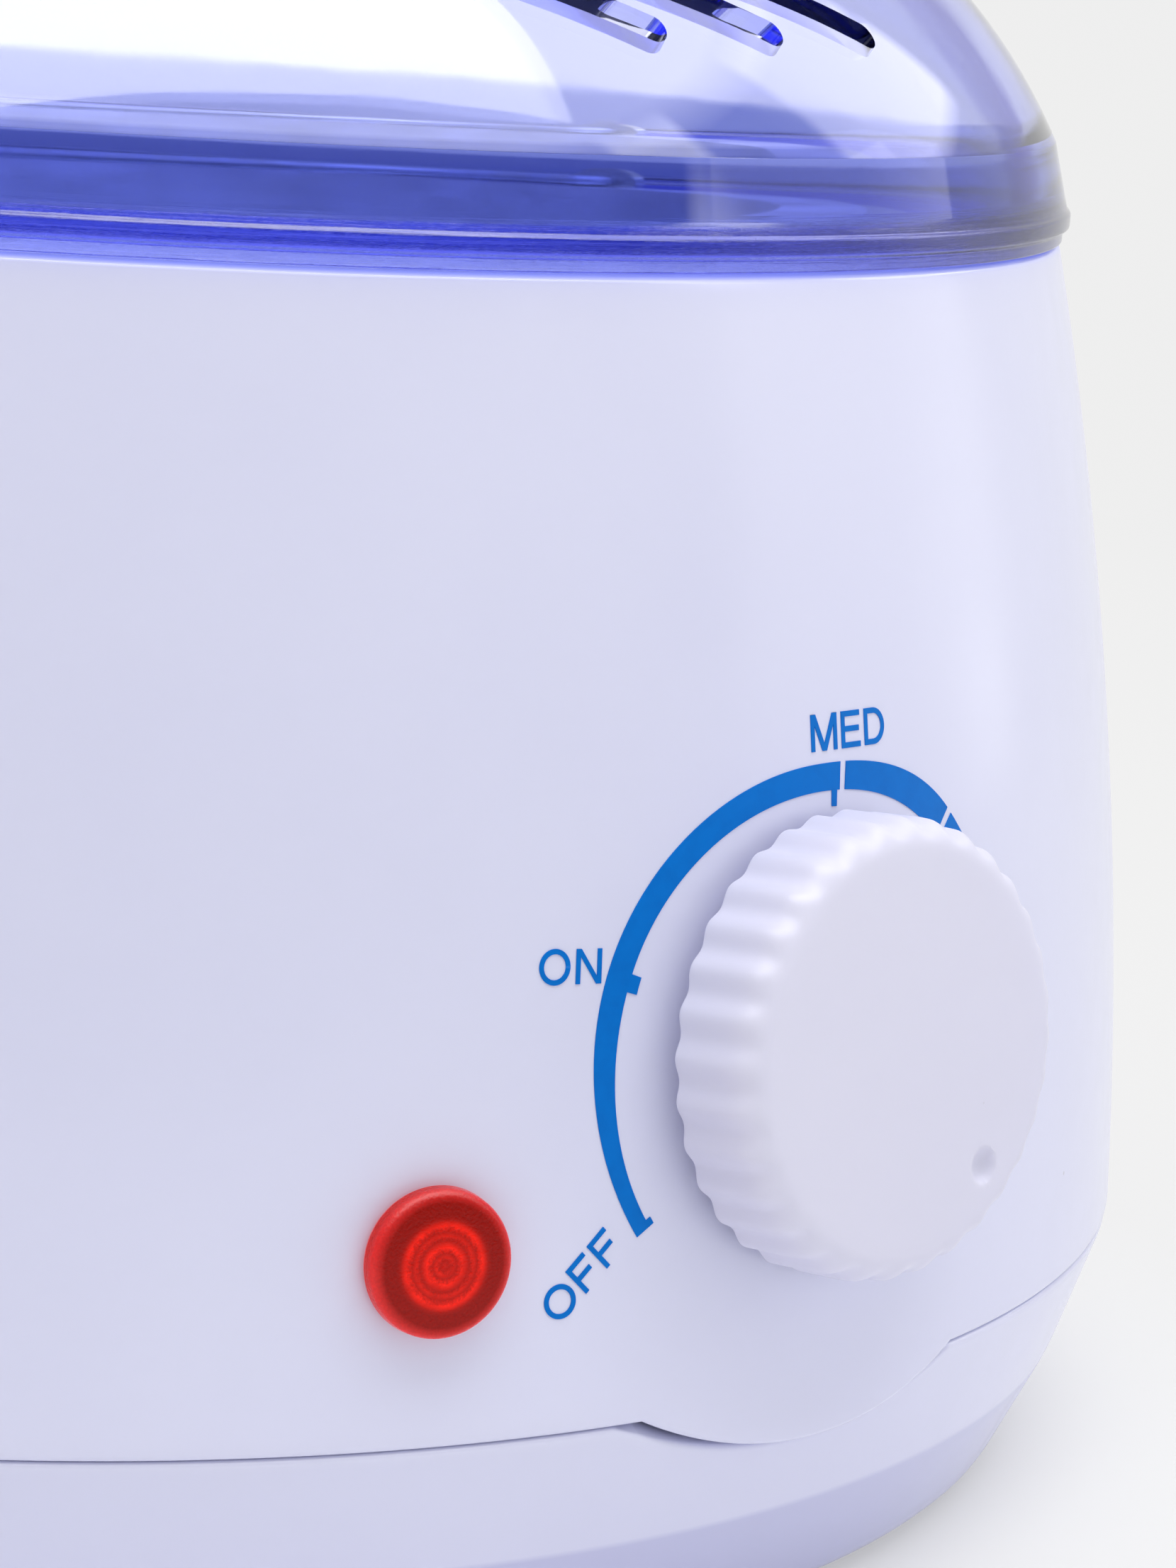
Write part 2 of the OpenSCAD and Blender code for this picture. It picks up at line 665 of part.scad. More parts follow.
module thermostat_nut() {
    color(steel) on_wall(0, knob_z) translate([0, 0, fit_gap]) difference() {
        linear_extrude(thermostat_nut_t) hexagon(nut_across);
        translate([0, 0, -cut]) cylinder(r = bushing_r + fit_gap, h = thermostat_nut_t + 2 * cut);
    }
}

module lamp_lens() {
    lens_r = lamp_d / 2;
    bulb_hole_r = bulb_d / 2 + run_gap;
    outline = concat([[bulb_hole_r, -lamp_stem_l], [lamp_stem_r, -lamp_stem_l], [lamp_stem_r, fit_gap],
        [lens_r, fit_gap]],
        bend([lens_r, fit_gap], [lens_r, lamp_reach - lens_crown], [0, lamp_reach], lens_bevel),
        [[0, lamp_reach], [0, lamp_reach / 2], [bulb_hole_r, lamp_reach / 2]]);
    color([0.85, 0.06, 0.06, 0.8]) on_wall(lamp_turn, lamp_z) rotate_extrude() polygon(outline);
}

module lamp_bulb() {
    glass_r = bulb_d / 2;
    color([0.95, 0.75, 0.6]) on_wall(lamp_turn, lamp_z) {
        translate([0, 0, -bulb_in]) cylinder(r = glass_r, h = bulb_in - glass_r);
        translate([0, 0, -glass_r]) sphere(r = glass_r);
    }
}

module lamp_clip() {
    color(steel) on_wall(lamp_turn, lamp_z) translate([0, 0, -wall - run_gap - clip_t])
        tube(lamp_stem_r + clip_w, lamp_stem_r + fit_gap, clip_t);
}

module heater_disc() {
    color([0.72, 0.62, 0.42]) translate([0, 0, heater_z]) {
        tube(heater_d / 2, stud_hole_r, heater_t);
        for (a = heater_tab_turns) rotate([0, 0, a]) translate([-tab_w / 2, -heater_tab_at, heater_t / 2])
            cube([tab_w, heater_tab_l, tab_t]);
    }
}

module insulation_disc() {
    color([0.93, 0.91, 0.85]) translate([0, 0, insulation_z]) tube(heater_d / 2, stud_hole_r, insulation_t);
}

module clamp_plate() {
    color(steel) translate([0, 0, plate_z]) tube(heater_d / 2 + plate_over, stud_r + hole_gap, plate_t);
}

module heater_stud() {
    stud_z = plate_z - nut_h - stud_past;
    color(steel) translate([0, 0, stud_z]) cylinder(r = stud_r, h = well_z - stud_z);
}

module heater_nut() {
    color(steel) translate([0, 0, plate_z - nut_h]) difference() {
        linear_extrude(nut_h) hexagon(2 * (stud_r + stud_nut_rim));
        translate([0, 0, -cut]) cylinder(r = stud_r + fit_gap, h = nut_h + 2 * cut);
    }
}

module insulation_wrap() {
    wrap_z = well_z + pot_round;
    wrap_top = deck_z - deck_t - well_boss_h - wrap_clear;
    color([0.93, 0.91, 0.85]) translate([0, 0, wrap_z])
        tube(well_r + fit_gap + wrap_t, well_r + fit_gap, wrap_top - wrap_z);
}

module thermal_fuse() {
    color([0.80, 0.80, 0.78]) translate([fuse_x, fuse_y, fuse_z]) rotate([-90, 0, 0])
        cylinder(d = fuse_d, h = fuse_l);
}

module fuse_clip() {
    reach = fuse_d / 2 + clip_wall;
    color(steel) translate([fuse_x, fuse_y, fuse_z]) difference() {
        translate([-reach, (fuse_l - clip_l) / 2, -reach])
            cube([2 * reach, clip_l, plate_z - fuse_z + reach]);
        rotate([-90, 0, 0]) cylinder(r = fuse_d / 2 + fit_gap, h = fuse_l);
    }
}

module terminal_block() {
    color([0.92, 0.90, 0.82]) difference() {
        translate([-block_w / 2, block_y, floor_z]) cube([block_w, block_depth, block_h]);
        at_block_screws() cylinder(r = block_screw_d / 2 + shaft_gap, h = block_well + cut);
    }
}
module at_block_screws() {
    top = floor_z + block_h - block_well;
    for (s = block_ways) translate([s * block_w, block_y + block_depth / 2, top]) children();
}

module terminal_screws() {
    color(steel) at_block_screws() difference() {
        cylinder(d = block_screw_d, h = block_screw_h);
        translate([0, 0, block_screw_h]) cube([block_screw_d + cut, cross_w, 2 * cross_depth], center = true);
    }
}

module cord_gland() {
    face = gland_boss_out;
    inner_end = gland_boss_in - gland_nut_t - cut;
    bore_r = gland_bore_d / 2;
    outline = [[bore_r, inner_end], [gland_neck_r, inner_end], [gland_neck_r, face], [gland_flange_r, face],
        [gland_flange_r, face + gland_collar], [gland_neck_r, gland_end - gland_bevel],
        [gland_neck_r - gland_bevel, gland_end], [bore_r, gland_end]];
    color(black_plastic) translate([0, 0, gland_z]) rotate([-90, 0, 0]) rotate_extrude() polygon(outline);
}

module gland_nut() {
    color(black_plastic) translate([0, gland_boss_in, gland_z]) rotate([90, 0, 0]) difference() {
        linear_extrude(gland_nut_t) hexagon(2 * (gland_neck_r + nut_rim));
        translate([0, 0, -cut]) cylinder(r = gland_neck_r + fit_gap, h = gland_nut_t + 2 * cut);
    }
}

module rubber_feet() {
    color([0.16, 0.16, 0.17]) around(foot_turns, foot_at) cylinder(d = foot_d, h = foot_h + foot_sink);
}

module base_screws() {
    color(steel) around(screw_turns, screw_at) difference() {
        union() {
            translate([0, 0, screw_seat_z - screw_head_h]) cylinder(d = screw_head_d, h = screw_head_h);
            translate([0, 0, screw_seat_z]) cylinder(d = screw_d, h = screw_top_z - screw_seat_z);
        }
        for (a = [0, 90]) rotate([0, 0, a]) translate([0, 0, screw_seat_z - screw_head_h])
            cube([0.6 * screw_head_d, cross_w, screw_head_h], center = true);
    }
}

// A smooth wire through hand-picked points
function between(a, b, c, d, t) = 0.5 * (2 * b + (c - a) * t + (2 * a - 5 * b + 4 * c - d) * t * t
    + (3 * b - a - 3 * c + d) * t * t * t);
function smooth(p, steps = 4) = let (n = len(p) - 1) concat(
    [for (i = [0 : n - 1], j = [0 : steps - 1])
        between(p[max(i - 1, 0)], p[i], p[i + 1], p[min(i + 2, n)], j / steps)],
    [p[n]]);
function headings(p) = let (n = len(p) - 1)
    [for (i = [0 : n]) unit(p[min(i + 1, n)] - p[max(i - 1, 0)])];
function carried(h, side, i = 0, done = []) = i == len(h) ? done :
    let (s = unit(side - (side * h[i]) * h[i])) carried(h, s, i + 1, concat(done, [s]));
module wire(points, sides = 8) {
    path = smooth(points);
    ahead = headings(path);
    out = carried(ahead, cross(ahead[0], [0.3, 0.5, 0.8]));
    last = len(path) - 1;
    corners = [for (i = [0 : last], k = [0 : sides - 1]) let (a = 360 / sides * k)
        path[i] + wire_d / 2 * (out[i] * cos(a) + cross(ahead[i], out[i]) * sin(a))];
    function at(i, k) = i * sides + k % sides;
    sleeve = [for (i = [0 : last - 1], k = [0 : sides - 1], half = [0, 1])
        half == 0 ? [at(i, k), at(i + 1, k), at(i + 1, k + 1)] : [at(i, k), at(i + 1, k + 1), at(i, k + 1)]];
    ends = [for (k = [1 : sides - 2], far = [0, 1])
        far == 0 ? [at(0, 0), at(0, k), at(0, k + 1)] : [at(last, 0), at(last, k + 1), at(last, k)]];
    polyhedron(corners, concat(sleeve, ends));
}

// Where the wires end
function thermostat_tab(x) = wall_point(0, knob_z, [x, -thermostat_h / 2 - tab_l - wire_gap, -tab_depth]);
function heater_tab(a) = spin([0, -heater_tab_at + 3, heater_z + heater_t / 2 - wire_d / 2 - wire_gap], a);
function block_way(x) = [x, block_y - wire_gap, floor_z + block_h / 2];
function bulb_end(x, out = 0) = wall_point(lamp_turn, lamp_z, [x, 0, -bulb_in - wire_gap - out]);

module supply_wire() {
    tab = thermostat_tab(-tab_x);
    color([0.45, 0.28, 0.16]) wire([block_way(3), block_way(3) - [0, 6, 0], [4, 24, low], [-9, -12, low],
        [-9, -45, low], tab + [0, 8, -12], tab + [0, 0.5, -5], tab]);
}
module fuse_wire() {
    tab = thermostat_tab(tab_x + 1.6);
    end = [fuse_x, fuse_y - wire_gap, fuse_z];
    color([0.65, 0.12, 0.10]) wire([tab, tab + [0, 0.5, -4], tab + [3, 9, -8], end - [0, 14, 1],
        end - [0, 4, 0], end]);
}
module heater_link_wire() {
    start = [fuse_x, fuse_y + fuse_l + wire_gap, fuse_z];
    tab = heater_tab(heater_tab_turns[0]);
    color([0.65, 0.12, 0.10]) wire([start, start + [0, 3, 0], start + [1, 7, -1], [26, -6, low + 5],
        [42, 6, low + 5], tab + [1, -2, -8], tab + [0, 0, -2], tab]);
}
module neutral_wire() {
    tab = heater_tab(heater_tab_turns[1]);
    end = block_way(-8);
    color([0.15, 0.25, 0.60]) wire([tab, tab + [0, 0, -3], tab + [-1, 3, -11], [-42, 34, low], [-18, 40, low],
        end - [1, 5, 0], end]);
}
module lamp_live_wire() {
    start = bulb_end(1.3);
    tab = thermostat_tab(tab_x - 1.6);
    color([0.65, 0.12, 0.10]) wire([start, bulb_end(1.3, 2.5), start + [10, 2, -9], tab + [-8, 4, -9],
        tab + [-1, 1, -5], tab]);
}
module lamp_neutral_wire() {
    start = bulb_end(-1.3);
    end = block_way(-3);
    color([0.15, 0.25, 0.60]) wire([start, bulb_end(-1.3, 2.5), start + [1, 6, -13], [-26, -36, low],
        [-20, 0, low], [-10, 30, low], end - [1, 6, 0], end]);
}

upper_housing();
base_housing();
lid();
heating_well();
well_gasket();
well_screws();
wax_pot();
pot_ears();
pot_bail();
knob();
thermostat_shaft();
thermostat_body();
thermostat_nut();
lamp_lens();
lamp_bulb();
lamp_clip();
heater_disc();
insulation_disc();
clamp_plate();
heater_stud();
heater_nut();
insulation_wrap();
thermal_fuse();
fuse_clip();
terminal_block();
terminal_screws();
cord_gland();
gland_nut();
rubber_feet();
base_screws();
supply_wire();
fuse_wire();
heater_link_wire();
neutral_wire();
lamp_live_wire();
lamp_neutral_wire();
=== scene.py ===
"""Looks of a round tabletop wax bath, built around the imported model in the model's own frame, in metres."""

import math

import bmesh
import bpy
import numpy as np
from mathutils import Matrix, Vector


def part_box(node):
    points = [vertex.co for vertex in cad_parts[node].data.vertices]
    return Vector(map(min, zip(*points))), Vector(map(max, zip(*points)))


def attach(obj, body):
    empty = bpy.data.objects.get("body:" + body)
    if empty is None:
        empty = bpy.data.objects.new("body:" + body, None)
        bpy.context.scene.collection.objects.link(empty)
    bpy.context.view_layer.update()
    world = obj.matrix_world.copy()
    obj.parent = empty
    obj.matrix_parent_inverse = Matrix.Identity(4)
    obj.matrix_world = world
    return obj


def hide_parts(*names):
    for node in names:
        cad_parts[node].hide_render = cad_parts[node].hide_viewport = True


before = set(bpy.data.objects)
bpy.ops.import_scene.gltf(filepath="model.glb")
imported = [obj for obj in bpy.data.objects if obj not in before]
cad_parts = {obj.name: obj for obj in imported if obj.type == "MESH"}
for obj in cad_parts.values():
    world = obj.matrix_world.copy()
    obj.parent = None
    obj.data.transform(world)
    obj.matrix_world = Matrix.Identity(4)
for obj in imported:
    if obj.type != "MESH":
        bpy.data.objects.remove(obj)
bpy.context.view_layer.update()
scene = bpy.context.scene

# Sizes of the housing, from the frame where the frame has them
shell_low, shell_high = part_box("upper_housing")
base_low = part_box("base_housing")[0]
lid_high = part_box("lid")[1]
LOBE_W = 0.0314
LOBE_DROP = 0.0036
NOTCH_W = LOBE_W + 0.0023
NOTCH_DROP = LOBE_DROP + 0.0001
NOTCH_SHIFT = -0.00135
SILL_IN = 0.0019
SEAM_GAP = 0.0001
WALL = 0.0025
WALL_BULGE = 0.0019
LIP_OVER = 0.0013
DECK_DROP = 0.004
DECK_T = 0.0025
DECK_HOLE_IN = 0.007
FLANGE_IN = 0.0031
FLANGE_Z = 0.0100
BASE_IN = 0.0074
SOFT_EDGE = 0.0010
FOOT_ROUND = 0.0025
FLOOR_T = 0.0025
TONGUE_R = 0.0869
TONGUE_T = 0.0022
TONGUE_H = 0.0052
body_r = shell_high.x
rim_z = shell_high.z
parting_z = shell_low.z + LOBE_DROP
tongue_top = parting_z + TONGUE_H
rim_r = lid_high.x - LIP_OVER
foot_h = base_low.z
deck_hole_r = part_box("heating_well")[1].x - DECK_HOLE_IN

# Roundings and mesh steps
EDGE_ROUND = 0.0006
SEAM_ROUND = 0.0004
FINE_STEP = 0.2
COARSE_STEP = 1.2
FINE_HALF = 13
SHARP_ANGLE = math.radians(38)
MERGE = 1e-6


def unit(vector):
    return vector / np.linalg.norm(vector)


def spin(angle, axis="Z"):
    """A turn about an axis, in degrees."""
    return Matrix.Rotation(math.radians(angle), 4, axis)


def wall_curve():
    """Centre (r, z) and radius of the arc that the side wall follows from the joint to the rim."""
    low, high = np.array([body_r, parting_z]), np.array([rim_r, rim_z])
    chord = high - low
    length = np.linalg.norm(chord)
    radius = ((length / 2) ** 2 + WALL_BULGE**2) / (2 * WALL_BULGE)
    outward = np.array([chord[1], -chord[0]]) / length
    return (low + high) / 2 - outward * (radius - WALL_BULGE), radius


wall_centre, wall_radius = wall_curve()


def wall_r(z, depth=0.0):
    return wall_centre[0] + math.sqrt((wall_radius - depth) ** 2 - (z - wall_centre[1]) ** 2)


def wall_tilt(z):
    return math.asin((z - wall_centre[1]) / wall_radius)


def on_wall(turn, z):
    """Places a piece on the wall: its +Z points out of the wall and its +Y up it."""
    place = Matrix.Translation((0, -wall_r(z), z)) @ Matrix.Rotation(math.pi / 2 - wall_tilt(z), 4, "X")
    return spin(turn) @ place


def dip(turn, width, drop, shift=0.0):
    """How far a shallow round lobe in front hangs below the joint at a turn."""
    x = body_r * math.sin(math.radians(turn)) - shift
    if abs((turn + 180) % 360 - 180) >= 90 or abs(x) >= width / 2:
        return 0.0
    radius = ((width / 2) ** 2 + drop**2) / (2 * drop)
    return drop - radius + math.sqrt(radius**2 - x**2)


# Meshes


def rounded(corners, steps=5):
    """An outline from (r, z, rounding) corners, each rounding drawn as an arc."""
    points = []
    for i, (r, z, rounding) in enumerate(corners):
        here = np.array([r, z])
        if rounding == 0 or i in (0, len(corners) - 1):
            points.append(here)
            continue
        before = unit(np.array(corners[i - 1][:2]) - here)
        after = unit(np.array(corners[i + 1][:2]) - here)
        half = math.acos(np.clip(before @ after, -1, 1)) / 2
        reach = rounding / math.tan(half)
        centre = here + unit(before + after) * rounding / math.sin(half)
        start, end = here + before * reach - centre, here + after * reach - centre
        sweep = math.atan2(start[0] * end[1] - start[1] * end[0], start @ end)
        for step in range(steps + 1):
            angle = sweep * step / steps
            turn = np.array([[math.cos(angle), -math.sin(angle)], [math.sin(angle), math.cos(angle)]])
            points.append(centre + turn @ start)
    return np.array(points)


def arc(centre, radius, start, end, steps):
    """Points (r, z, 0) along an arc between two angles in degrees."""
    angles = np.radians(np.linspace(start, end, steps + 1))
    return [(centre[0] + radius * math.cos(a), centre[1] + radius * math.sin(a), 0) for a in angles]


def new_object(name, mesh, material):
    piece = bpy.data.objects.new(name, mesh)
    scene.collection.objects.link(piece)
    mesh.materials.clear()
    mesh.materials.append(material)
    return piece


def clean(mesh, recalculate=True):
    """Merges doubles, turns the faces outwards and shades smooth up to an angle."""
    work = bmesh.new()
    work.from_mesh(mesh)
    bmesh.ops.remove_doubles(work, verts=work.verts, dist=MERGE)
    bmesh.ops.dissolve_degenerate(work, edges=work.edges, dist=MERGE)
    if recalculate:
        bmesh.ops.recalc_face_normals(work, faces=work.faces)
    work.to_mesh(mesh)
    work.free()
    mesh.shade_smooth()
    mesh.set_sharp_from_angle(angle=SHARP_ANGLE)
    mesh.update()


def skin(name, rings, looped=False, capped=False):
    """A mesh of quads over rings of points. looped joins the last ring to the first, capped closes both ends."""
    rings = np.asarray(rings)
    rows, columns = rings.shape[:2]
    quads = []
    for i in range(rows if looped else rows - 1):
        this, following = i * columns, (i + 1) % rows * columns
        for j in range(columns):
            beside = (j + 1) % columns
            quads.append((this + j, this + beside, following + beside, following + j))
    if capped:
        quads.append(tuple(range(columns - 1, -1, -1)))
        quads.append(tuple((rows - 1) * columns + j for j in range(columns)))
    mesh = bpy.data.meshes.new(name)
    mesh.from_pydata([tuple(p) for p in rings.reshape(-1, 3)], [], quads)
    clean(mesh)
    return mesh


def turned(name, profile_at, turns, looped=True):
    """A mesh turned about Z. profile_at gives the (r, z) outline at a turn, in degrees from -Y towards +X."""
    columns = []
    for turn in turns:
        a = math.radians(turn)
        outline = np.asarray(profile_at(turn))
        columns.append(np.stack([outline[:, 0] * math.sin(a), -outline[:, 0] * math.cos(a), outline[:, 1]], axis=1))
    return skin(name, np.stack(columns, axis=1), looped)


def even_turns(count):
    return np.arange(count) * 360 / count


def lobe_turns():
    """Turns round the axis, finer in front, with the corners of the lobe and the notch among them."""
    ends = (LOBE_W / 2, -LOBE_W / 2, NOTCH_SHIFT + NOTCH_W / 2, NOTCH_SHIFT - NOTCH_W / 2)
    corner = [math.degrees(math.asin(x / body_r)) for x in ends]
    fine = np.arange(-FINE_HALF, FINE_HALF, FINE_STEP)
    coarse = np.arange(FINE_HALF, 360 - FINE_HALF, COARSE_STEP)
    return np.unique(np.round(np.concatenate([fine, coarse, corner]), 4))


def from_nodes(piece):
    """Turns the result of a piece's geometry nodes into its plain mesh."""
    graph = bpy.context.evaluated_depsgraph_get()
    mesh = bpy.data.meshes.new_from_object(piece.evaluated_get(graph))
    piece.modifiers.clear()
    piece.data = mesh
    return piece


def cut(piece, cutter, operation="DIFFERENCE"):
    """Cuts one mesh with another, or joins them."""
    knife = piece.modifiers.new("cut", "BOOLEAN")
    knife.operation = operation
    knife.solver = "EXACT"
    knife.object = cutter
    from_nodes(piece)
    mesh = cutter.data
    bpy.data.objects.remove(cutter)
    bpy.data.meshes.remove(mesh)
    clean(piece.data, recalculate=False)
    return piece


def smooth_copy(node, material, body, slot):
    """A merged, smooth-shaded copy of a CAD node that stands for it."""
    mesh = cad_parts[node].data.copy()
    piece = new_object(node + "_finished", mesh, material)
    clean(mesh, recalculate=False)
    return placed(piece, body, slot, node)


def placed(piece, body, slot=None, *nodes):
    """Puts a piece on the body that it rides on and hides the CAD nodes that it stands for; slot is not used."""
    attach(piece, body)
    if nodes:
        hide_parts(*nodes)
    return piece


# Finishes


class Nodes:
    """A node tree that is built up step by step."""

    def __init__(self, tree):
        self.tree = tree

    def add(self, kind, inputs=None, **settings):
        """Adds a node with its settings, and sets or links its inputs."""
        node = self.tree.nodes.new(kind)
        for name, value in settings.items():
            setattr(node, name, value)
        for name, value in (inputs or {}).items():
            if isinstance(value, bpy.types.NodeSocket):
                self.tree.links.new(value, node.inputs[name])
            else:
                node.inputs[name].default_value = value
        return node

    def out(self, kind, inputs=None, **settings):
        """Adds a node and gives its first output."""
        return self.add(kind, inputs, **settings).outputs[0]

    def math(self, operation, a, b=0.0, c=0.0):
        return self.out("ShaderNodeMath", {0: a, 1: b, 2: c}, operation=operation)

    def window(self, value, low, high, out_low=0.0, out_high=1.0):
        """Maps a range of a value onto another range, held at its ends."""
        inputs = {"Value": value, "From Min": low, "From Max": high, "To Min": out_low, "To Max": out_high}
        return self.add("ShaderNodeMapRange", inputs, clamp=True).outputs["Result"]

    def between(self, value, low, high, soft):
        """1 where a value lies between two limits, with soft edges."""
        rise = self.window(value, low - soft, low + soft)
        return self.math("MULTIPLY", rise, self.window(value, high + soft, high - soft))

    def mix(self, share, first, second):
        """A value between two others."""
        return self.out("ShaderNodeMix", {0: share, 2: first, 3: second}, data_type="FLOAT")

    def blend(self, share, first, second):
        """A colour between two others."""
        return self.add("ShaderNodeMix", {0: share, 6: first, 7: second}, data_type="RGBA").outputs[2]

    def end(self, geometry, finish):
        """Ends a geometry tree with real geometry in one finish."""
        solid = self.out("GeometryNodeRealizeInstances", {"Geometry": geometry})
        painted = self.out("GeometryNodeSetMaterial", {"Geometry": solid, "Material": finish})
        self.add("NodeGroupOutput", {"Geometry": painted})
        return self.tree


class Finish(Nodes):
    """A material with one Principled shader."""

    def __init__(self, name, colour, roughness, **sockets):
        self.material = bpy.data.materials.new(name)
        self.material.use_nodes = True
        super().__init__(self.material.node_tree)
        self.shader = self.tree.nodes["Principled BSDF"]
        self.output = self.tree.nodes["Material Output"]
        self.coordinates = self.add("ShaderNodeTexCoord").outputs["Object"]
        self.colour = (*colour, 1)
        self.bump = None
        self.set("Base Color", self.colour)
        self.set("Roughness", roughness)
        for socket, value in sockets.items():
            self.set(socket.replace("_", " "), value)

    def set(self, socket, value):
        self.shader.inputs[socket].default_value = value

    def link(self, source, socket):
        self.tree.links.new(source, self.shader.inputs[socket])

    def surface(self, source):
        self.tree.links.new(source, self.output.inputs["Surface"])

    def stretch(self, scale):
        """The piece's own coordinates, scaled along each axis."""
        return self.out("ShaderNodeMapping", {"Vector": self.coordinates, "Scale": scale})

    def noise(self, scale, detail=4.0, roughness=0.55, vector=None):
        inputs = {"Vector": vector or self.coordinates, "Scale": scale, "Detail": detail, "Roughness": roughness}
        return self.add("ShaderNodeTexNoise", inputs).outputs["Fac"]

    def height(self):
        return self.add("ShaderNodeSeparateXYZ", {0: self.coordinates}).outputs[2]

    def radius(self, vector=None):
        """Distance from the Z axis."""
        split = self.add("ShaderNodeSeparateXYZ", {0: vector or self.coordinates}).outputs
        flat = self.out("ShaderNodeCombineXYZ", {0: split[0], 1: split[1]})
        return self.add("ShaderNodeVectorMath", {0: flat}, operation="LENGTH").outputs["Value"]

    def tint(self, other, share):
        """Mixes another colour into the base colour by a share."""
        self.colour = self.blend(share, self.colour, (*other, 1))
        self.link(self.colour, "Base Color")
        return self

    def relief(self, height, depth):
        """Adds a bump of a depth in metres."""
        inputs = {"Height": height, "Distance": depth, "Strength": 1.0}
        if self.bump:
            inputs["Normal"] = self.bump
        self.bump = self.out("ShaderNodeBump", inputs)
        self.link(self.bump, "Normal")
        return self

    def gloss(self, value, low, high):
        """Varies the roughness between two values."""
        self.link(self.window(value, 0.3, 0.7, low, high), "Roughness")
        return self


def moulded(name, colour, shade, roughness, grain, depth):
    """Moulded plastic: faint clouding of the colour, fine grain and uneven gloss."""
    finish = Finish(name, colour, roughness)
    finish.tint(shade, finish.window(finish.noise(25.0, 3.0), 0.35, 0.75))
    finish.relief(finish.noise(grain, 3.0), depth)
    finish.gloss(finish.noise(90.0, 2.0), roughness * 0.8, roughness * 1.25)
    return finish


def specks(finish, colour, cell, size, share):
    """Scattered specks of dust on a plastic surface."""
    cells = finish.add("ShaderNodeTexVoronoi", {"Vector": finish.coordinates, "Scale": cell})
    near = finish.window(cells.outputs["Distance"], size, size * 1.6, 1.0, 0.0)
    lot = finish.out("ShaderNodeSeparateColor", {0: cells.outputs["Color"]})
    chosen = finish.math("GREATER_THAN", lot, 1.0 - share)
    return finish.tint(colour, finish.math("MULTIPLY", finish.math("MULTIPLY", near, chosen), 0.55))


def soften(finish, weight):
    """Lets a little light into white plastic."""
    finish.set("Subsurface Weight", weight)
    finish.set("Subsurface Radius", (0.0012, 0.0012, 0.0014))
    finish.set("Subsurface Scale", 1.0)


def white_housing():
    finish = moulded("white_housing", (0.715, 0.725, 0.905), (0.69, 0.70, 0.885), 0.20, 1400.0, 0.000004)
    finish.relief(finish.noise(45.0, 2.0), 0.00004)
    # Painted shade: below the crease the base is tinted darker and bluer, for the shade on its down-facing lower
    # facet near the floor
    finish.tint((0.56, 0.57, 0.80), finish.window(finish.height(), FLANGE_Z + 0.0002, FLANGE_Z - 0.0003))
    soften(finish, 0.08)
    return specks(finish, (0.45, 0.44, 0.50), 260.0, 0.035, 0.05).material


def white_knob():
    finish = moulded("white_knob", (0.715, 0.71, 0.85), (0.695, 0.69, 0.835), 0.37, 1800.0, 0.000005)
    finish.relief(finish.noise(120.0, 2.0), 0.00003)
    finish.set("Specular IOR Level", 0.2)
    soften(finish, 0.12)
    return specks(finish, (0.40, 0.38, 0.42), 420.0, 0.05, 0.06).material


LID_DENSITY = 165.0
STREAKS_BELOW = 0.0986
# Heights of the band that is painted darker blue on the lid, as shade for the dim inside seen through it
SHADE_BAND_BELOW = 0.1030
SHADE_BAND_ABOVE = 0.0963


def violet_lid():
    """Clear tinted plastic: the tint comes from the depth of plastic that the light passes, and a band from the lip
    up to the shoulder is painted a darker blue as shade.
    """
    finish = Finish("violet_lid", (1.0, 1.0, 1.0), 0.03, IOR=1.55, Transmission_Weight=1.0)
    height = finish.height()
    lip = finish.window(height, STREAKS_BELOW, STREAKS_BELOW - 0.0006)
    streaks = finish.noise(1.0, 5.0, 0.6, finish.stretch((60.0, 60.0, 3800.0)))
    finish.relief(finish.math("MULTIPLY", streaks, lip), 0.00006)
    finish.relief(finish.noise(60.0, 2.0), 0.00003)
    finish.gloss(finish.noise(150.0, 3.0), 0.02, 0.06)
    # Painted shade: the band from the lip up to the shoulder is tinted darker blue, for the dim inside seen through
    # it
    below = finish.window(height, SHADE_BAND_BELOW, SHADE_BAND_BELOW - 0.0003)
    above = finish.window(height, SHADE_BAND_ABOVE, SHADE_BAND_ABOVE + 0.0004)
    finish.tint((0.27, 0.32, 0.61), finish.math("MULTIPLY", below, above))
    inside = finish.add("ShaderNodeVolumeAbsorption", {"Color": (0.30, 0.38, 1.0, 1), "Density": LID_DENSITY})
    finish.tree.links.new(inside.outputs[0], finish.output.inputs["Volume"])
    path = finish.add("ShaderNodeLightPath").outputs
    either = finish.math("MAXIMUM", path["Is Shadow Ray"], path["Is Diffuse Ray"])
    clear = finish.add("ShaderNodeBsdfTransparent", {"Color": (0.72, 0.76, 0.98, 1)})
    mix = finish.add("ShaderNodeMixShader", {0: either, 1: finish.shader.outputs[0], 2: clear.outputs[0]})
    finish.surface(mix.outputs[0])
    return finish.material


def dial_ink():
    finish = Finish("dial_ink", (0.0, 0.165, 0.600), 0.36, Specular_IOR_Level=0.08)
    finish.tint((0.0, 0.15, 0.56), finish.window(finish.noise(700.0, 4.0), 0.4, 0.7))
    wear = finish.noise(1.0, 4.0, 0.6, finish.stretch((420.0, 420.0, 1500.0)))
    finish.tint((0.70, 0.74, 0.88), finish.window(wear, 0.77, 0.80, 0.0, 0.7))
    finish.relief(finish.noise(2200.0, 2.0), 0.000004)
    return finish.material


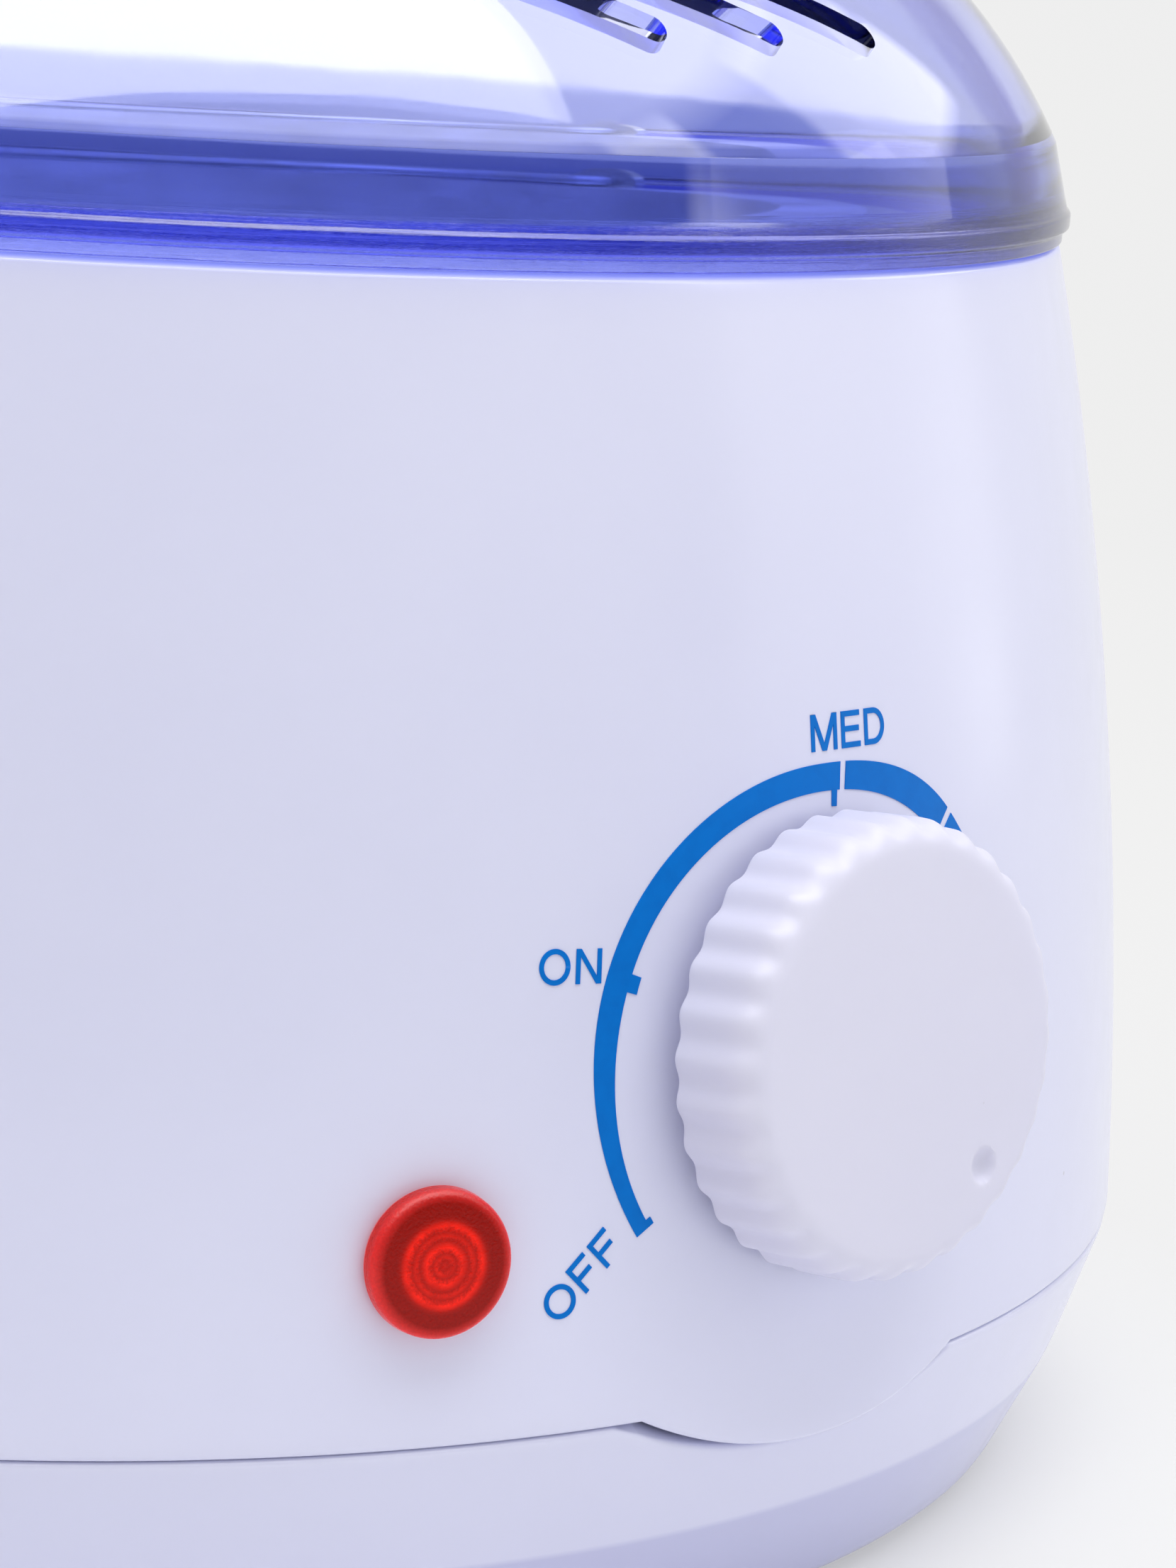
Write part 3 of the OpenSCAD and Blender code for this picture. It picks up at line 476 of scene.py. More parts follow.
def spun_metal(name, colour, roughness, lines, depth):
    """Spun or drawn sheet: fine rings about the axis, uneven gloss and faint stains."""
    finish = Finish(name, colour, roughness, Metallic=1.0)
    across = finish.out("ShaderNodeCombineXYZ", {0: finish.radius(), 1: finish.height()})
    rings = finish.noise(lines, 5.0, 0.65, across)
    finish.tint(tuple(0.82 * c for c in colour), finish.window(finish.noise(60.0, 5.0), 0.45, 0.75))
    finish.relief(rings, depth)
    finish.gloss(finish.noise(140.0, 4.0), roughness * 0.75, roughness * 1.3)
    return finish.material


def plated_metal(name, colour, roughness):
    """Plated steel or brass with fine scratches along it."""
    finish = Finish(name, colour, roughness, Metallic=1.0)
    scratches = finish.noise(1.0, 5.0, 0.7, finish.stretch((900.0, 900.0, 260.0)))
    finish.tint(tuple(0.8 * c for c in colour), finish.window(finish.noise(220.0, 4.0), 0.5, 0.8))
    finish.relief(scratches, 0.000006)
    finish.gloss(finish.noise(300.0, 3.0), roughness * 0.75, roughness * 1.25)
    return finish.material


def rubbery(name, colour, roughness, grain):
    return moulded(name, colour, tuple(1.35 * c for c in colour), roughness, grain, 0.00003).material


def fibrous(name, colour, shade):
    """Pressed fibre or mica sheet."""
    finish = Finish(name, colour, 0.85)
    threads = finish.noise(1.0, 6.0, 0.7, finish.stretch((500.0, 1400.0, 900.0)))
    finish.tint(shade, finish.window(threads, 0.4, 0.7))
    finish.relief(threads, 0.00015)
    return finish.material


# Rings of light in the lens: radius, half width, level
LAMP_RINGS = ((0.0, 0.0003, 0.15), (0.0006, 0.00025, 0.22), (0.00125, 0.0004, 0.50),
              (0.0020, 0.00025, 0.22), (0.00265, 0.0004, 0.42))


def lamp_finish(place):
    """Clear red lens over a lit bulb: rings of light in the middle, a dark belt and a pale edge, whose tint and
    extra glow are partly the bulb's light through the rim and partly a painted highlight.
    """
    finish = Finish("lamp_lens", (0.06, 0.001, 0.001), 0.16, Specular_IOR_Level=0.2)
    back = place.inverted()
    inputs = {"Vector": finish.coordinates, "Location": back.translation, "Rotation": tuple(back.to_euler())}
    inner = finish.out("ShaderNodeMapping", inputs)
    depth = finish.add("ShaderNodeSeparateXYZ", {0: inner}).outputs[2]
    grain = finish.noise(5200.0, 3.0, 0.6)
    patches = finish.noise(900.0, 2.0, 0.5)
    away = finish.radius(inner)
    wobble = finish.math("MULTIPLY_ADD", finish.math("SUBTRACT", grain, 0.5), 0.0004, away)
    light = None
    for ring_r, width, level in LAMP_RINGS:
        off = finish.math("ABSOLUTE", finish.math("SUBTRACT", wobble, ring_r))
        glow = finish.window(off, width, 0.0, 0.0, level)
        light = glow if light is None else finish.math("MAXIMUM", light, glow)
    light = finish.math("MULTIPLY", light, finish.window(patches, 0.3, 0.7, 0.55, 1.25))
    disc = finish.window(wobble, 0.0033, 0.0028, 0.0, 0.17)
    face = finish.window(depth, 0.0011, 0.0017)
    edge = finish.math("MULTIPLY", finish.window(away, 0.0041, 0.0049), face)
    side = finish.math("SUBTRACT", 1.0, face)
    # Painted highlight, partly real glow: the rounded edge is tinted pale and glows more, for the bulb's light
    # through the rim and the highlight on its bevel
    finish.tint((0.55, 0.05, 0.06), finish.math("MULTIPLY", edge, 0.5))
    rim = finish.math("MULTIPLY_ADD", edge, 0.26, finish.math("MULTIPLY", side, 0.25))
    level = finish.math("ADD", finish.math("ADD", light, disc), finish.math("ADD", rim, 0.22))
    finish.set("Emission Color", (1.0, 0.016, 0.006, 1))
    finish.link(finish.math("MULTIPLY", level, finish.window(grain, 0.25, 0.75, 0.78, 1.22)), "Emission Strength")
    finish.relief(grain, 0.00004)
    return finish.material


WHITE = white_housing()
KNOB_WHITE = white_knob()
LID = violet_lid()
INK = dial_ink()
WELL = spun_metal("well_aluminium", (0.66, 0.67, 0.69), 0.40, 5200.0, 0.00002)
POT = spun_metal("pot_aluminium", (0.89, 0.905, 0.95), 0.38, 7800.0, 0.00001)
STEEL = plated_metal("zinc_plate", (0.66, 0.67, 0.69), 0.21)
BAIL_WIRE = plated_metal("bright_wire", (0.45, 0.48, 0.61), 0.45)
BRASS = plated_metal("brass", (0.80, 0.62, 0.32), 0.21)
FUSE_SHELL = plated_metal("fuse_shell", (0.78, 0.78, 0.76), 0.38)
SILICONE = rubbery("red_silicone", (0.52, 0.16, 0.11), 0.55, 900.0)
FOOT_RUBBER = rubbery("foot_rubber", (0.035, 0.035, 0.037), 0.75, 700.0)
BLACK = moulded("black_plastic", (0.030, 0.030, 0.033), (0.045, 0.045, 0.05), 0.42, 1500.0, 0.00002).material
CREAM = moulded("cream_plastic", (0.72, 0.68, 0.56), (0.66, 0.61, 0.48), 0.4, 1200.0, 0.00001).material
BULB = moulded("bulb_glass", (0.90, 0.62, 0.48), (0.85, 0.5, 0.4), 0.08, 300.0, 0.000002).material
MICA = fibrous("mica_sheet", (0.46, 0.36, 0.20), (0.60, 0.50, 0.30))
FIBRE = fibrous("fibre_felt", (0.80, 0.77, 0.68), (0.68, 0.64, 0.55))
BROWN_WIRE = rubbery("brown_insulation", (0.16, 0.07, 0.03), 0.45, 1500.0)
RED_WIRE = rubbery("red_insulation", (0.40, 0.02, 0.015), 0.45, 1500.0)
BLUE_WIRE = rubbery("blue_insulation", (0.02, 0.06, 0.32), 0.45, 1500.0)


# Housings


def upper_outline(turn):
    """Outline of the upper housing at a turn: up the outside, over the rim and back down the inside."""
    edge = parting_z - dip(turn, LOBE_W, LOBE_DROP)
    deck_z = rim_z - DECK_DROP
    under = deck_z - DECK_T
    rim_in = wall_r(rim_z, WALL)
    outside = [(wall_r(z), z, 0) for z in np.linspace(edge + 0.0012, rim_z - 0.0012, 26)]
    inside = [(wall_r(z, WALL), z, 0) for z in np.linspace(under - 0.001, edge + 0.001, 12)]
    start = ((wall_r(edge) + wall_r(edge, WALL)) / 2, edge, 0)
    return rounded(
        [start, (wall_r(edge), edge, SEAM_ROUND), *outside]
        + [(rim_r, rim_z, EDGE_ROUND), (rim_in, rim_z, EDGE_ROUND), (rim_in, deck_z, EDGE_ROUND)]
        + [(deck_hole_r, deck_z, EDGE_ROUND / 2), (deck_hole_r, under, EDGE_ROUND / 2)]
        + [(wall_r(under, WALL), under, EDGE_ROUND), *inside, (wall_r(edge, WALL), edge, EDGE_ROUND / 2)]
        + [start]
    )[:-1]


def base_outline(turn):
    """Outline of the base: from the middle of the underside round the foot edge, over the ledge and tongue."""
    sill = parting_z - SEAM_GAP - dip(turn, LOBE_W, LOBE_DROP)
    top = min(sill, parting_z - dip(turn, NOTCH_W, NOTCH_DROP, NOTCH_SHIFT))
    foot = np.array([body_r - BASE_IN, foot_h])
    soft = np.array([body_r - FLANGE_IN, FLANGE_Z])
    brow = np.array([body_r, parting_z - SEAM_GAP])
    slope = (brow - soft) / (brow[1] - soft[1])
    lean, rise = unit(soft - foot), unit(slope)
    side = [(*(foot + lean * d), 0) for d in np.linspace(0.003, np.linalg.norm(soft - foot) - SOFT_EDGE, 5)]
    bend_a, bend_b = soft - lean * SOFT_EDGE, soft + rise * SOFT_EDGE
    for t in np.linspace(0, 1, 9)[1:]:
        side.append((*(bend_a * (1 - t) ** 2 + soft * 2 * t * (1 - t) + bend_b * t * t), 0))
    reach = top - 0.0008 - bend_b[1]
    side += [(*(bend_b + slope * reach * s), 0) for s in np.linspace(0, 1, 6)[1:]]
    edge_r = body_r - (parting_z - SEAM_GAP - top) * slope[0]
    floor_z = foot_h + FLOOR_T
    return rounded(
        [(0, foot_h, 0), (*foot, FOOT_ROUND), *side, (edge_r, top, SEAM_ROUND)]
        + [(edge_r - SILL_IN, sill, 0), (TONGUE_R, sill, SEAM_ROUND)]
        + [(TONGUE_R, tongue_top, EDGE_ROUND), (TONGUE_R - TONGUE_T, tongue_top, EDGE_ROUND)]
        + [(TONGUE_R - TONGUE_T, FLANGE_Z, 0), (foot[0] - 0.003, floor_z, 0), (0, floor_z, 0)]
    )


def prism(outline, low, high):
    """A straight prism over a flat outline, as rings for skin()."""
    return [[(x, y, z) for x, y in outline] for z in (low, high)]


def stadium(length, width, arc_steps=16):
    """A flat bar with round ends along X, from its +X end round."""
    half, radius = (length - width) / 2, width / 2
    points = []
    for side in range(2):
        angles = np.radians(np.linspace(-90, 90, arc_steps + 1) + 180 * side)
        middle = half * (1 - 2 * side)
        points += [(middle + radius * math.cos(a), radius * math.sin(a)) for a in angles]
    return points


def join(name, meshes):
    """One object from several meshes that are already in place."""
    work = bmesh.new()
    for mesh in meshes:
        work.from_mesh(mesh)
        bpy.data.meshes.remove(mesh)
    whole = bpy.data.meshes.new(name)
    work.to_mesh(whole)
    work.free()
    return new_object(name, whole, WHITE)


def drill(radius, low, high, place):
    circle = [(radius * math.cos(a), radius * math.sin(a)) for a in np.radians(even_turns(48))]
    mesh = skin("drill", prism(circle, low, high), capped=True)
    mesh.transform(place)
    return mesh


def at_turn(turn, distance):
    """A place at a distance from the axis, turned round it."""
    return spin(turn) @ Matrix.Translation((0, -distance, 0))


gland_low, gland_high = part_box("cord_gland")
gland_z = (gland_low.z + gland_high.z) / 2
gland_place = Matrix.Translation((0, 0, gland_z)) @ spin(-90, "X")
GLAND_NECK_R = 0.005
GLAND_BORE_R = 0.0036
BOSS_WALL = 0.0031
BOSS_FROM = 0.0800
BOSS_PROUD = 0.001
FLOOR_SLOTS = 12
FLOOR_SLOT_L = 0.020
FLOOR_SLOT_W = 0.003
FLOOR_SLOT_AT = 0.038
SCREW_TURNS = (50, 130, 230, 310)
SCREW_AT = 0.077
SCREW_WELL_R = 0.0035
SCREW_WELL_UNDER = 0.007
FOOT_TURNS = (0, 90, 180, 270)
FOOT_AT = 0.068
FOOT_R = 0.007
FOOT_DISH = 0.0003
FOOT_DISH_R = 0.0052
COLLAR_OUT = 0.0024
COLLAR_T = 0.0018
RIBS_FROM = 0.0026
RIB_PITCH = 0.0011


def make_housings():
    upper = new_object("upper_housing_shell", turned("upper_housing_shell", upper_outline, lobe_turns()), WHITE)
    placed(upper, "housing", "housing", "upper_housing")

    base = new_object("base_housing_shell", turned("base_housing_shell", base_outline, lobe_turns(), False), WHITE)
    cut(base, join("boss", [drill(GLAND_NECK_R + BOSS_WALL, BOSS_FROM, body_r + BOSS_PROUD, gland_place)]), "UNION")
    bar_shape = stadium(FLOOR_SLOT_L, FLOOR_SLOT_W)
    slots = [skin("slot", prism(bar_shape, 0, 0.01), capped=True) for _ in range(FLOOR_SLOTS)]
    for i, slot in enumerate(slots):
        slot.transform(spin((i + 0.5) * 360 / FLOOR_SLOTS) @ Matrix.Translation((FLOOR_SLOT_AT, 0, -0.002)))
    wells = [drill(SCREW_WELL_R, -0.01, parting_z - SCREW_WELL_UNDER, at_turn(t, SCREW_AT)) for t in SCREW_TURNS]
    seats = [drill(FOOT_R + 0.0002, -0.01, foot_h + FLOOR_T / 2, at_turn(t, FOOT_AT)) for t in FOOT_TURNS]
    bore = [drill(GLAND_NECK_R + 0.00025, 0.07, 0.12, gland_place)]
    cut(base, join("holes", slots + wells + seats + bore))
    placed(base, "housing", "housing", "base_housing")


# Lid

LIP_H = 0.0016
LIP_OUT = 0.0007
LIP_RING_H = 0.0009
BAND_H = 0.0078
SHOULDER_IN = 0.0009
DOME_RISE = 0.0242
DOME_R = 0.045
LID_WALL = 0.0022
SPIGOT_H = 0.0016
SPIGOT_GAP = 0.0005
SEAT_GAP = 0.0002
GRIP_L = 0.064
GRIP_W = 0.018
GRIP_FILLET = 0.0025
GRIP_DRAFT = 0.0007
GRIP_ROUND = 0.0045
LID_COLUMNS = 256
VENT_L = 0.014
VENT_W = 0.0022
VENT_CUT = 0.0044
VENT_PITCH = 8.7
VENT_SLANT = 67
VENT_LIFT = 43
VENT_TURN = -1.7
lid_z = rim_z + SEAT_GAP
shoulder = np.array([rim_r - SHOULDER_IN, rim_z + BAND_H])
lid_top = shoulder[1] + DOME_RISE
dome_centre = np.array([shoulder[0] - math.sqrt(DOME_R**2 - (DOME_R - DOME_RISE) ** 2), lid_top - DOME_R])


def circle_ring(radius, z):
    """A ring of points, from +X round."""
    angles = np.radians(even_turns(LID_COLUMNS))
    return np.stack([radius * np.cos(angles), radius * np.sin(angles), np.full(LID_COLUMNS, z)], axis=1)


def grip_ring(radius, z):
    """A ring round the grip at a distance from its middle line, with as many points as a circle ring."""
    half = (GRIP_L - GRIP_W) / 2
    quarter = LID_COLUMNS // 8
    points = []
    for k in range(LID_COLUMNS):
        turn = (k + quarter) % LID_COLUMNS
        side, step = divmod(turn, LID_COLUMNS // 2)
        if step < 2 * quarter:
            angle = math.radians(-90 + 90 * step / quarter + 180 * side)
            middle = half * (1 - 2 * side)
            points.append((middle + radius * math.cos(angle), radius * math.sin(angle), z))
        else:
            share = (step - 2 * quarter) / (2 * quarter)
            points.append((half * (1 - 2 * side) * (1 - 2 * share), radius * (1 - 2 * side), z))
    return np.array(points)


def grip_rings(foot_r, top_z, foot_z, fillet, rounding):
    """Rings from the dome's flat top up round the grip and in to its middle line."""
    rings = []
    flat_edge = circle_ring(dome_centre[0], foot_z)
    outer = grip_ring(foot_r + fillet, foot_z)
    rings += [flat_edge * (1 - t) + outer * t for t in (0.25, 0.5, 0.75, 1.0)]
    for a in np.radians(np.linspace(0, 90, 6)[1:]):
        rings.append(grip_ring(foot_r + fillet * (1 - math.sin(a)), foot_z + fillet * (1 - math.cos(a))))
    top_r = foot_r - GRIP_DRAFT
    for t in np.linspace(0, 1, 5)[1:]:
        rings.append(grip_ring(foot_r - GRIP_DRAFT * t, foot_z + fillet + (top_z - rounding - foot_z - fillet) * t))
    for a in np.radians(np.linspace(0, 90, 9)[1:]):
        rings.append(grip_ring(top_r - rounding * (1 - math.cos(a)), top_z - rounding * (1 - math.sin(a))))
    rings += [grip_ring((top_r - rounding) * t, top_z) for t in (0.66, 0.33, 0.0)]
    return rings


def make_lid():
    spigot_r = wall_r(rim_z, WALL) - SPIGOT_GAP
    spigot_in, spigot_z = spigot_r - LID_WALL, lid_z - SPIGOT_H
    start_point = ((spigot_r + spigot_r - LID_WALL) / 2, spigot_z, 0)
    lip_z = lid_z + LIP_RING_H
    lip_r = rim_r + LIP_OUT
    rise = shoulder[1] - dome_centre[1]
    start = math.degrees(math.asin(rise / DOME_R))
    inner_r = DOME_R - LID_WALL
    inner_start = math.degrees(math.asin(rise / inner_r))
    band_in = dome_centre[0] + math.sqrt(inner_r**2 - rise**2)
    outside = rounded(
        [start_point, (spigot_r, spigot_z, 0.0004), (spigot_r, lid_z, 0.0003)]
        + [(rim_r + 0.0002, lid_z, 0.0002), (rim_r + 0.0002, lip_z, 0.0002)]
        + [(lip_r, lip_z + 0.0003, 0.0003), (lip_r, lip_z + LIP_H - 0.0002, 0.0004)]
        + [(lip_r - 0.0003, lip_z + LIP_H, 0.0003), (*shoulder, 0.00022)]
        + arc(dome_centre, DOME_R, start + 1.5, 90, 30)
    )
    inside = rounded(
        [start_point, (spigot_in, spigot_z, 0.0004), (spigot_in, lip_z, 0.0003)]
        + [(band_in + SHOULDER_IN + 0.0004, lip_z + LIP_H, 0.0003)]
        + arc(dome_centre, inner_r, inner_start, 90, 30)
    )
    rings = [circle_ring(r, z) for r, z in outside]
    rings += grip_rings(GRIP_W / 2, lid_high.z, lid_top, GRIP_FILLET, GRIP_ROUND)
    under = [circle_ring(r, z) for r, z in inside[1:]]
    under += grip_rings(GRIP_W / 2 - LID_WALL, lid_high.z - LID_WALL, lid_top - LID_WALL, 0.001, GRIP_ROUND - 0.001)
    lid = new_object("lid_shell", skin("lid_shell", under[::-1] + rings), LID)
    cut(lid, vent_cutters())
    placed(lid, "lid", "lid", "lid")


def vent_cutters():
    """Slots slanting up the dome in two groups, in front and behind."""
    lift = math.radians(VENT_LIFT)
    middle = dome_centre + DOME_R * np.array([math.cos(lift), math.sin(lift)])
    bar_shape = prism(stadium(VENT_L, VENT_W), -VENT_CUT, VENT_CUT)
    slot = new_object("vent_slot", skin("vent_slot", bar_shape, capped=True), LID)
    slot.data.transform(spin(90 - VENT_LIFT, "X") @ spin(VENT_SLANT - 90))
    groups = [ring_of_copies("vents", slot, LID, 3, middle[0], middle[1], side + VENT_TURN - VENT_PITCH, VENT_PITCH)
              for side in (0, 180)]
    bpy.data.objects.remove(slot)
    meshes = [group.data for group in groups]
    for group in groups:
        bpy.data.objects.remove(group)
    return join("vent_cutters", meshes)


# Copies round the axis


def new_tree(name, inputs):
    """An empty geometry node tree with named inputs."""
    tree = bpy.data.node_groups.new(name, "GeometryNodeTree")
    for label, kind in inputs:
        tree.interface.new_socket(label, in_out="INPUT", socket_type="NodeSocket" + kind)
    tree.interface.new_socket("Geometry", in_out="OUTPUT", socket_type="NodeSocketGeometry")
    return Nodes(tree)


def copies_tree():
    """Geometry nodes: copies of an object at even turns round the Z axis."""
    sizes = [(name, "Float") for name in ("Distance", "Height", "First Turn", "Turn Step")]
    nodes = new_tree("copies_round_axis", [("Copy", "Object"), ("Count", "Int"), *sizes, ("Finish", "Material")])
    given = nodes.add("NodeGroupInput").outputs
    index = nodes.out("GeometryNodeInputIndex")
    turn = nodes.math("RADIANS", nodes.math("MULTIPLY_ADD", index, given["Turn Step"], given["First Turn"]))
    x = nodes.math("MULTIPLY", nodes.math("SINE", turn), given["Distance"])
    y = nodes.math("MULTIPLY", nodes.math("COSINE", turn), given["Distance"])
    y = nodes.math("MULTIPLY", y, -1.0)
    place = nodes.out("ShaderNodeCombineXYZ", {0: x, 1: y, 2: given["Height"]})
    facing = nodes.out("ShaderNodeCombineXYZ", {2: turn})
    points = nodes.out("GeometryNodePoints", {"Count": given["Count"], "Position": place})
    shape = nodes.add("GeometryNodeObjectInfo", {"Object": given["Copy"]}).outputs["Geometry"]
    spread = nodes.add("GeometryNodeInstanceOnPoints", {"Points": points, "Instance": shape, "Rotation": facing})
    return nodes.end(spread.outputs[0], given["Finish"])


COPIES = copies_tree()


def apply_tree(piece, tree, values):
    """Runs a geometry node tree on a piece with the given inputs and keeps the result as its mesh."""
    nodes = piece.modifiers.new(tree.name, "NODES")
    nodes.node_group = tree
    for item in tree.interface.items_tree:
        if item.in_out == "INPUT" and item.name in values:
            nodes[item.identifier] = values[item.name]
    return from_nodes(piece)


def ring_of_copies(name, shape, material, count, distance, height, first_turn, turn_step):
    piece = new_object(name, bpy.data.meshes.new(name), material)
    values = {"Distance": distance, "Height": height, "First Turn": first_turn, "Turn Step": turn_step}
    values = {label: float(value) for label, value in values.items()}
    return apply_tree(piece, COPIES, {**values, "Copy": shape, "Count": count, "Finish": material})


def make_feet():
    """Round rubber feet with a shallow dished sole."""
    top = foot_h + FLOOR_T / 2
    sole = [(0, FOOT_DISH, 0), (FOOT_DISH_R, FOOT_DISH, 0.0002), (FOOT_DISH_R + 0.0004, 0, 0.0002)]
    outline = rounded(sole + [(FOOT_R, 0, 0.0003), (FOOT_R, top, 0.0002), (0, top, 0)])
    foot = new_object("foot", turned("foot", lambda turn: outline, even_turns(64), False), FOOT_RUBBER)
    feet = ring_of_copies("rubber_feet_set", foot, FOOT_RUBBER, len(FOOT_TURNS), FOOT_AT, 0.0, 0.0, 90.0)
    clean(feet.data, recalculate=False)
    bpy.data.objects.remove(foot)
    placed(feet, "housing", "foot_rubber", "rubber_feet")


def make_gland():
    """Black cord gland with a ribbed collar."""
    face = body_r + BOSS_PROUD
    inner, outer = gland_low.y, gland_high.y
    collar = GLAND_NECK_R + COLLAR_OUT
    corners = [(GLAND_BORE_R, inner, 0), (GLAND_NECK_R, inner, 0.0003), (GLAND_NECK_R, face, 0)]
    corners += [(collar, face, 0.0002), (collar, face + COLLAR_T, 0.0004)]
    for i in range(3):
        low = face + RIBS_FROM + RIB_PITCH * i
        corners.append((GLAND_NECK_R + 0.0008 - 0.0002 * i, low, 0.00015))
        corners.append((GLAND_NECK_R + 0.0002, low + 0.0005, 0.00015))
    corners += [(GLAND_NECK_R, outer, 0.0005), (GLAND_BORE_R, outer, 0.0004)]
    mesh = turned("cord_gland_body", lambda turn: rounded(corners), even_turns(96))
    mesh.transform(gland_place)
    placed(new_object("cord_gland_body", mesh, BLACK), "housing", "black_plastic", "cord_gland")


# Dial

KNOB_R = 0.0158
KNOB_REACH = 0.0081
KNOB_GAP = 0.0006
KNOB_ROUND = 0.0022
KNOB_CROWN = 0.0005
KNOB_HOLLOW = 0.0026
KNOB_HOLLOW_R = 0.008
FLUTES = 32
FLUTE_DEPTH = 0.0004
FLUTE_FADE = 0.0018
FLUTE_TURN = 2.9
DIMPLE_AT = 0.0114
DIMPLE_R = 0.0013
DIMPLE_DEPTH = 0.0007
DIMPLE_ANGLE = -50
KNOB_COLUMNS = 448
KNOB_Z = 0.044
PRINT_Z = 0.0435
dial_place = on_wall(0, KNOB_Z)


def flute_tree():
    """Geometry nodes: flutes round a turned piece, as deep as its flute_share says."""
    sizes = (("Flutes", "Int"), ("Depth", "Float"), ("Turn", "Float"))
    nodes = new_tree("knob_flutes", (("Geometry", "Geometry"), *sizes, ("Finish", "Material")))
    given = nodes.add("NodeGroupInput").outputs
    spot = nodes.out("GeometryNodeInputPosition")
    split = nodes.add("ShaderNodeSeparateXYZ", {0: spot}).outputs
    angle = nodes.math("ADD", nodes.math("ARCTAN2", split[1], split[0]), nodes.math("RADIANS", given["Turn"]))
    wave = nodes.math("COSINE", nodes.math("MULTIPLY", angle, given["Flutes"]))
    wave = nodes.math("MULTIPLY_ADD", wave, -0.5, 0.5)
    share = nodes.out("GeometryNodeInputNamedAttribute", {"Name": "flute_share"}, data_type="FLOAT")
    depth = nodes.math("MULTIPLY", nodes.math("MULTIPLY", wave, share), given["Depth"])
    outward = nodes.out("ShaderNodeCombineXYZ", {0: split[0], 1: split[1]})
    outward = nodes.out("ShaderNodeVectorMath", {0: outward}, operation="NORMALIZE")
    inset = nodes.math("MULTIPLY", depth, -1.0)
    offset = nodes.out("ShaderNodeVectorMath", {0: outward, "Scale": inset}, operation="SCALE")
    moved = nodes.out("GeometryNodeSetPosition", {"Geometry": given["Geometry"], "Offset": offset})
    return nodes.end(moved, given["Finish"])


def make_knob():
    front = KNOB_REACH
    skirt = [(KNOB_R, z, 0) for z in np.linspace(KNOB_GAP + 0.0009, front - KNOB_CROWN - KNOB_ROUND - 0.0004, 8)]
    across = np.linspace(KNOB_R - KNOB_ROUND - 0.0005, 0.0, 56)
    face = [(r, front - KNOB_CROWN * (r / KNOB_R) ** 2, 0) for r in across]
    hollow = KNOB_GAP + KNOB_HOLLOW
    corners = [(0.0032, hollow, 0), (KNOB_HOLLOW_R, hollow, 0.0003), (KNOB_HOLLOW_R, KNOB_GAP, 0.0003)]
    corners += [(KNOB_R, KNOB_GAP, 0.0004), *skirt, (KNOB_R - 0.0002, front - KNOB_CROWN, KNOB_ROUND), *face]
    outline = rounded([(0, hollow, 0)] + corners, 9)
    mesh = turned("knob_fluted", lambda turn: outline, even_turns(KNOB_COLUMNS), False)
    spots = np.empty(len(mesh.vertices) * 3)
    mesh.vertices.foreach_get("co", spots)
    spots = spots.reshape(-1, 3)
    away = np.linalg.norm(spots[:, :2], axis=1)
    share = np.clip((away - (KNOB_R - FLUTE_FADE - 0.0001)) / FLUTE_FADE, 0, 1)
    share = share * share * (3 - 2 * share)
    mesh.attributes.new("flute_share", "FLOAT", "POINT").data.foreach_set("value", share)
    angle = math.radians(DIMPLE_ANGLE)
    from_dimple = np.hypot(spots[:, 0] - DIMPLE_AT * math.cos(angle), spots[:, 1] - DIMPLE_AT * math.sin(angle))
    near = np.clip(1 - (from_dimple / DIMPLE_R) ** 2, 0, 1)
    spots[:, 2] -= np.where(spots[:, 2] > front - 0.002, DIMPLE_DEPTH * near**0.8, 0)
    mesh.vertices.foreach_set("co", spots.ravel())
    knob = new_object("knob_fluted", mesh, KNOB_WHITE)
    values = {"Flutes": FLUTES, "Depth": FLUTE_DEPTH, "Turn": FLUTE_TURN, "Finish": KNOB_WHITE}
    apply_tree(knob, flute_tree(), values)
    knob.data.transform(dial_place)
    clean(knob.data, recalculate=False)
    placed(knob, "dial", "knob", "knob")


# Dial print: angle from the right, outer radius and width of the stroke, from OFF round to the highest setting
STROKE = ((213.4, 0.0200, 0.00115), (160, 0.0205, 0.00185), (92, 0.0193, 0.00186),
          (45, 0.0207, 0.0025), (-41, 0.0232, 0.0034))
PRINT_T = 0.00006
GAP_ANGLES = (83.6, 45.0)
GAP_HALF = 0.9
TICKS = ((86.3, 0.0011, 0.9), (161, 0.0008, 1.9), (212.6, 0.0004, 0.8))
# Words: sideways and upward place of the middle, turn, cap height
WORDS = (("OFF", -0.02095, -0.0132, 45, 0.0023), ("ON", -0.0222, 0.00745, -2, 0.0023),
         ("MED", 0.0029, 0.0214, 0, 0.0025))



def on_dial(u, v, lift):
    """A point on the wall round the dial, u sideways and v up from its centre."""
    z = PRINT_Z + v * math.cos(wall_tilt(PRINT_Z))
    around, r = u / wall_r(PRINT_Z), wall_r(z) + lift
    return Vector((r * math.sin(around), -r * math.cos(around), z))


def stroke_at(angle):
    """Outer radius and width of the stroke at an angle, eased between its stations."""
    for (a0, r0, w0), (a1, r1, w1) in zip(STROKE, STROKE[1:]):
        if a1 <= angle <= a0:
            t = (a0 - angle) / (a0 - a1)
            t = t * t * (3 - 2 * t)
            return r0 + (r1 - r0) * t, w0 + (w1 - w0) * t
    raise ValueError(angle)


def stroke_inner(angle):
    outer, width = stroke_at(angle)
    return outer - width


